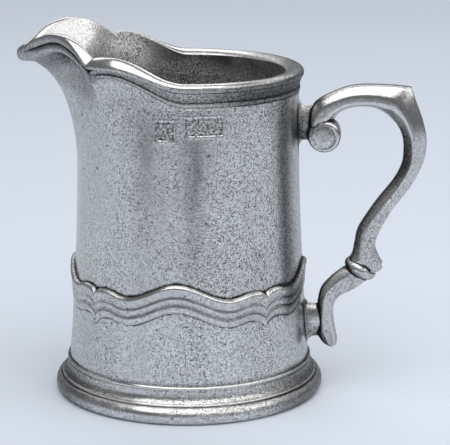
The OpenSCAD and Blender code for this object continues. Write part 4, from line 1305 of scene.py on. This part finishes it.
class CREAMER_OT_age_and_shade_pewter(Operator):
    """Find the hollows that hold patina and the edges that are rubbed bright, and paint shade and dark reflections"""
    bl_idname = "creamer.age_pewter"
    bl_label = "Patina and Wear"

    SHORT = 2.5e-9   # square of the shortest edge that counts for the turn of the surface, in square metres
    LIFT = 0.00008   # how far above the surface the rays start, in metres

    reach: FloatProperty(name="Reach", description="How far a hollow shelters the metal beside it",
                         default=0.006, subtype="DISTANCE", unit="LENGTH")

    def execute(self, context):
        pieces = [bpy.data.objects[name] for name in PIECES]
        points, faces = [], []
        for piece in pieces:
            start = len(points)
            points.extend(v.co.to_tuple() for v in piece.data.vertices)
            faces.extend(tuple(i + start for i in p.vertices)
                         for p, hidden in zip(piece.data.polygons, seam_faces(piece.data)) if not hidden)
        tree = BVHTree.FromPolygons(points, faces)
        rays = hemisphere(12)
        m = Measures(context.scene.creamer_sizes)
        for piece in pieces:
            where, normals, edges = mesh_arrays(piece.data)
            hidden = averaged(self.sheltered(tree, where, normals, rays), edges, 2)
            curve = averaged(self.bend(where, normals, edges), edges, 2)
            inward = -np.einsum("ij,ij->i", normals[:, :2], where[:, :2])
            inward /= np.maximum(np.linalg.norm(where[:, :2], axis=1), TINY)
            held, stain_and_shade = self.stains_and_shade(m, piece.name, where, normals, inward)
            # patina in the sheltered hollows and in the bends, plus painted shade and painted dark reflections
            recess = hidden * held * 1.7 + np.clip(-curve, 0, 1) * 0.4 + stain_and_shade
            for name, values in (("recess", np.clip(recess, 0, 1)), ("edge", smooth((curve - 0.2) / 0.9)),
                                 ("raw", self.unworked(m, piece.name, where * TO_MM, normals, inward))):
                layer = piece.data.attributes.new(name, "FLOAT", "POINT")
                layer.data.foreach_set("value", values.astype(np.float32))
        return {"FINISHED"}

    def bend(self, where, normals, edges):
        """How sharply the surface turns at each point, per millimetre. It is negative in a hollow."""
        step = where[edges[:, 1]] - where[edges[:, 0]]
        turn = np.einsum("ij,ij->i", normals[edges[:, 1]] - normals[edges[:, 0]], step)
        span = np.einsum("ij,ij->i", step, step)
        turn = np.where(span > self.SHORT, turn / np.maximum(span, self.SHORT), 0)
        total, count = np.zeros(len(where)), np.full(len(where), TINY)
        for end in (0, 1):
            np.add.at(total, edges[:, end], turn)
            np.add.at(count, edges[:, end], 1)
        return total / count * TO_METRES

    def stains_and_shade(self, m, name, where, normals, inward):
        """Share of the shelter that shows as patina, and the patina, painted shade and painted dark reflections that
        the metal has besides.
        """
        x, y, z = where.T
        held, stain_and_shade = 1.0, np.zeros(len(x))
        bevel = bevelled(normals)
        outside = inward < 0
        if name in INSIDE:
            # painted shade inside the jug, darker with depth, and more so on the spout's side
            far = smooth((x + 0.016) / 0.012)
            top = m.rim_h * TO_METRES + mix(0.005, -0.0004, far)
            depth = smooth((top - z) / mix(0.018, 0.0035, far))
            stain_and_shade = mix(0.54, 0.22, far) * smooth(inward * 2) * depth
        if name in SCROLLS:
            # patina and a painted dark reflection on the side towards the drum, and a painted dark reflection on top
            # of the arch
            held = 1.3
            stain_and_shade = 0.56 * smooth(inward * 1.6 - 0.3) + 0.3 * smooth((normals[:, 2] - 0.85) / 0.12) * (z > 0.08)
        if name == "spout_casting":
            # darker on the outside of the beak above 76 mm, except where it faces upwards
            stain_and_shade = stain_and_shade + 0.3 * (inward < 0.1) * (1 - bevel) * smooth((z - 0.076) / 0.008)
        if name in PAINTED_REFLECTION_PIECES:
            # painted dark reflection of the handle: a soft strip on both sides of it
            turn = np.degrees(np.abs(np.arctan2(y, x)))
            strip = 0.22 * smooth((42 - turn) / 14) + 0.19 * bell(turn - 27, 7)
            stain_and_shade = stain_and_shade + strip * mix(0.3, 1, smooth((z - 0.016) / 0.014)) * outside
        if name == "rim":
            # patina on the moulding all round, with painted shade added on the handle's side of the moulding and of
            # the lip
            right = smooth((x - 0.005) / 0.014)
            band = outside * (1 - bevel) * (0.3 + 0.14 * right) * self.on_moulding(m, where * TO_MM)
            stain_and_shade = np.maximum(stain_and_shade, band + 0.36 * right * bevel)
        if name == "belt_moulding":
            held, stain_and_shade = 0.66, stain_and_shade + 0.1
        if name == "foot":
            # even patina, with painted shade on the foot's flanks to the left and right
            held, stain_and_shade = 0.35, 0.17 + 0.42 * smooth((np.abs(x) - 0.016) / 0.016)
        if name == "drum":
            held = np.where(outside, 0.75, 0.7)
            for place in cartouches(m, np.arctan2(y, x), z * TO_MM):
                stain_and_shade = stain_and_shade + 0.2 * smooth((-beyond(*place) - 0.05) / 0.2) * outside
        return held, stain_and_shade

    def on_moulding(self, m, where):
        """How far each point, in millimetres, is on the rim's moulding and not on the plain wall under it."""
        rim = rim_columns(m, np.arctan2(-where[:, 1], -where[:, 0]) % math.tau)
        return smooth((where[:, 2] - rim["lip_z"] + rim["band"] + rim["drop"] + 0.5) / 1.2)

    def unworked(self, m, name, where, normals, inward):
        """How rough the casting's skin is at each point, in millimetres. Less than nothing is polished."""
        x, _, z = where.T
        within = smooth(inward * 2.5 - 0.2)
        rough_inside = 1.8 * smooth((x + 36) / 20) - 0.6
        if name in SCROLLS:
            # smooth on the arch, rougher lower down
            return -0.1 + 0.3 * smooth((56 - z) / 12) + 0.25 * smooth((58 - x) / 5) * smooth((76 - z) / 4)
        # the wall is rougher above the belt and at the top, and smoother on the spout's side
        wall = 0.2 * smooth((56 - z) / 18) * smooth((z - 24) / 8) + 0.35 * smooth((z - 70) / 9)
        wall -= 0.6 * smooth((-9 - x) / 12) * smooth((z - 24) / 22)
        if name == "drum":
            return mix(wall, rough_inside, within)
        bevel = bevelled(normals)
        if name == "spout_casting":
            return mix(0.3 - 0.6 * bevel, rough_inside, within)
        if name == "rim":
            whole = smooth((x + 16) / 10)
            skin = mix(wall + 0.5, 0.75 - 1.1 * bevel, self.on_moulding(m, where))
            return mix(skin, rough_inside, mix(within, smooth((inward - 0.5) / 0.3), whole))
        return np.full(len(x), RAW.get(name, 0.0))

    def sheltered(self, tree, where, normals, rays):
        """Share of the sky above each point that nearby metal hides."""
        helper = np.where(np.abs(normals[:, 2:3]) < 0.9, [[0.0, 0.0, 1.0]], [[1.0, 0.0, 0.0]])
        across = unit_rows(np.cross(helper, normals))
        along = np.cross(normals, across)
        starts = where + normals * self.LIFT
        hidden = np.zeros(len(where))
        for x, y, z in rays:
            ways = across * x + along * y + normals * z
            for i, (start, way) in enumerate(zip(starts.tolist(), ways.tolist())):
                distance = tree.ray_cast(start, way, self.reach)[3]
                if distance is not None:
                    hidden[i] += 1 - distance / self.reach
        return hidden / len(rays)


# Stage

# Name, place, size and power of each lamp
LAMPS = (("softbox", (-0.15, -0.75, 1.95), (2.2, 2.2), 29.0),
         ("back_panel", (0.1, 1.05, 1.05), (2.4, 0.8), 9.0),
         ("side_panel", (1.05, -0.25, 0.95), (1.8, 0.9), 6.4))
LAMP_COLOUR, LAMP_AIM = (0.97, 0.985, 1.0), (0, 0, 0.05)
ROOM_COLOUR, ROOM_STRENGTH = (0.92, 0.95, 1.0, 1.0), 0.2
EYE, EYE_AIM, LENS, SENSOR = (0.0522, -0.5168, 0.1734), (0.00969, 0.0008, 0.0449), 160.0, 36.0
TABLE_HALF = 4.0
# Dark places painted into the table's colour that only the metal sees, as painted dark reflections: bearing and
# half-width with its fade, in radians, then how far away they start, over what length, and how dark they are
PAINTED_REFLECTION_DARK = (0.07, 0.07, 0.07)
PAINTED_REFLECTION_PLACES = ((0.19, 0.16, 0.05, 0.29, 0.02, 1.0), (2.08, 0.24, 0.1, 0.24, 0.03, 0.95),
               (-0.68, 0.26, 0.16, 0.3, 0.03, 0.6))


def aim(item, place, target):
    """Puts a lamp or the camera at a place and turns it towards a target."""
    item.location = place
    item.rotation_euler = (Vector(target) - item.location).to_track_quat("-Z", "Y").to_euler()


class CREAMER_OT_set_stage(Operator):
    """Lay the pale table, and set the soft light and the camera"""
    bl_idname = "creamer.set_stage"
    bl_label = "Table, Light and Camera"

    def execute(self, context):
        scene, finish = context.scene, context.scene.creamer_finish
        self.table(scene, finish)
        for lamp in LAMPS:
            self.light(scene, *lamp)
        world = bpy.data.worlds.new("soft_room")
        world.use_nodes = True
        room = world.node_tree.nodes["Background"].inputs
        room["Color"].default_value, room["Strength"].default_value = ROOM_COLOUR, ROOM_STRENGTH
        scene.world = world
        scene.view_settings.view_transform = "Standard"
        eye = bpy.data.cameras.new("photo_view")
        eye.lens, eye.sensor_width, eye.sensor_fit = LENS, SENSOR, "HORIZONTAL"
        eye.clip_start = 0.01
        camera = bpy.data.objects.new("photo_view", eye)
        scene.collection.objects.link(camera)
        aim(camera, EYE, EYE_AIM)
        scene.camera = camera
        return {"FINISHED"}

    def table(self, scene, finish):
        """Pale table that runs back into shade."""
        mesh = bpy.data.meshes.new("table")
        corners = [(x * TABLE_HALF, y * TABLE_HALF, 0) for x, y in ((-1, -1), (1, -1), (1, 1), (-1, 1))]
        mesh.from_pydata(corners, [], [(0, 1, 2, 3)])
        material = bpy.data.materials.new("pale_table")
        material.use_nodes = True
        tree = material.node_tree
        shader = tree.nodes["Principled BSDF"]
        where = add(tree, "ShaderNodeTexCoord").outputs["Object"]
        x, y = (Number(tree, add(tree, "ShaderNodeSeparateXYZ", {0: where}).outputs[i]) for i in (0, 1))
        # the table's colour is painted darker towards the back: painted shade
        far = ((y + 0.1) / 0.85).unit()
        paper = blend_colour(tree, far.socket, finish.floor_near, finish.floor_far)
        # painted dark reflections: only in the metal, the table runs out into dark places
        mirrored = Number(tree, add(tree, "ShaderNodeLightPath").outputs["Is Glossy Ray"])
        away = (x * x + y * y).sqrt()
        ahead = ((y * -1 / away - 0.35) / 0.4).unit() * ((away - 0.29) / 0.05).unit()
        bearing = x.math("ARCTAN2", x, y * -1)
        dark = ahead * 0.38
        for middle, half, fade, start, ease, depth in PAINTED_REFLECTION_PLACES:
            across = ((half - (bearing - middle).abs()) / fade).unit()
            dark = dark.most(across * ((away - start) / ease).unit() * depth)
        # painted dark reflections on the right and on the left as well
        dark = dark.most(((bearing - 0.75) / 0.25).unit() * 0.22).most(((bearing * -1 - 0.9) / 0.2).unit() * 0.16)
        paper = blend_colour(tree, (mirrored * dark).socket, paper, PAINTED_REFLECTION_DARK)
        tree.links.new(paper, shader.inputs["Base Color"])
        shader.inputs["Roughness"].default_value = 0.7
        shader.inputs["Specular IOR Level"].default_value = 0.2
        mesh.materials.append(material)
        floor = bpy.data.objects.new("table", mesh)
        scene.collection.objects.link(floor)

    def light(self, scene, name, place, size, power):
        """Soft rectangular lamp that faces the creamer."""
        lamp = bpy.data.lights.new(name, "AREA")
        lamp.shape, lamp.energy = "RECTANGLE", power
        lamp.size, lamp.size_y = size
        lamp.color = LAMP_COLOUR
        holder = bpy.data.objects.new(name, lamp)
        aim(holder, place, LAMP_AIM)
        scene.collection.objects.link(holder)


OPERATORS = (CREAMER_OT_cast_body, CREAMER_OT_turn_rings, CREAMER_OT_cast_belt, CREAMER_OT_cast_struts,
             CREAMER_OT_cast_scrolls, CREAMER_OT_age_and_shade_pewter, CREAMER_OT_set_stage)


class CREAMER_PT_build(Panel):
    """Steps of the build, and the finishes and sizes that it uses"""
    bl_label = "Pewter Creamer"
    bl_space_type = "VIEW_3D"
    bl_region_type = "UI"
    bl_category = "Creamer"

    def draw(self, context):
        for operator in OPERATORS:
            self.layout.operator(operator.bl_idname)
        for group in (context.scene.creamer_finish, context.scene.creamer_sizes):
            box = self.layout.box()
            for name in group.__annotations__:
                box.prop(group, name)


CLASSES = (CreamerSizes, CreamerFinish, *OPERATORS, CREAMER_PT_build)


def register():
    """Makes the steps, the sizes and the finishes known to Blender."""
    for item in CLASSES:
        bpy.utils.register_class(item)
    bpy.types.Scene.creamer_sizes = PointerProperty(type=CreamerSizes)
    bpy.types.Scene.creamer_finish = PointerProperty(type=CreamerFinish)


def unregister():
    """Takes them out again."""
    del bpy.types.Scene.creamer_finish
    del bpy.types.Scene.creamer_sizes
    for item in reversed(CLASSES):
        bpy.utils.unregister_class(item)


def main():
    """Builds the creamer and its stage."""
    register()
    bpy.ops.creamer.cast_body()
    bpy.ops.creamer.turn_rings()
    bpy.ops.creamer.cast_belt()
    bpy.ops.creamer.cast_struts()
    bpy.ops.creamer.cast_scrolls()
    bpy.ops.creamer.age_pewter()
    bpy.ops.creamer.set_stage()


if __name__ == "__main__":
    main()
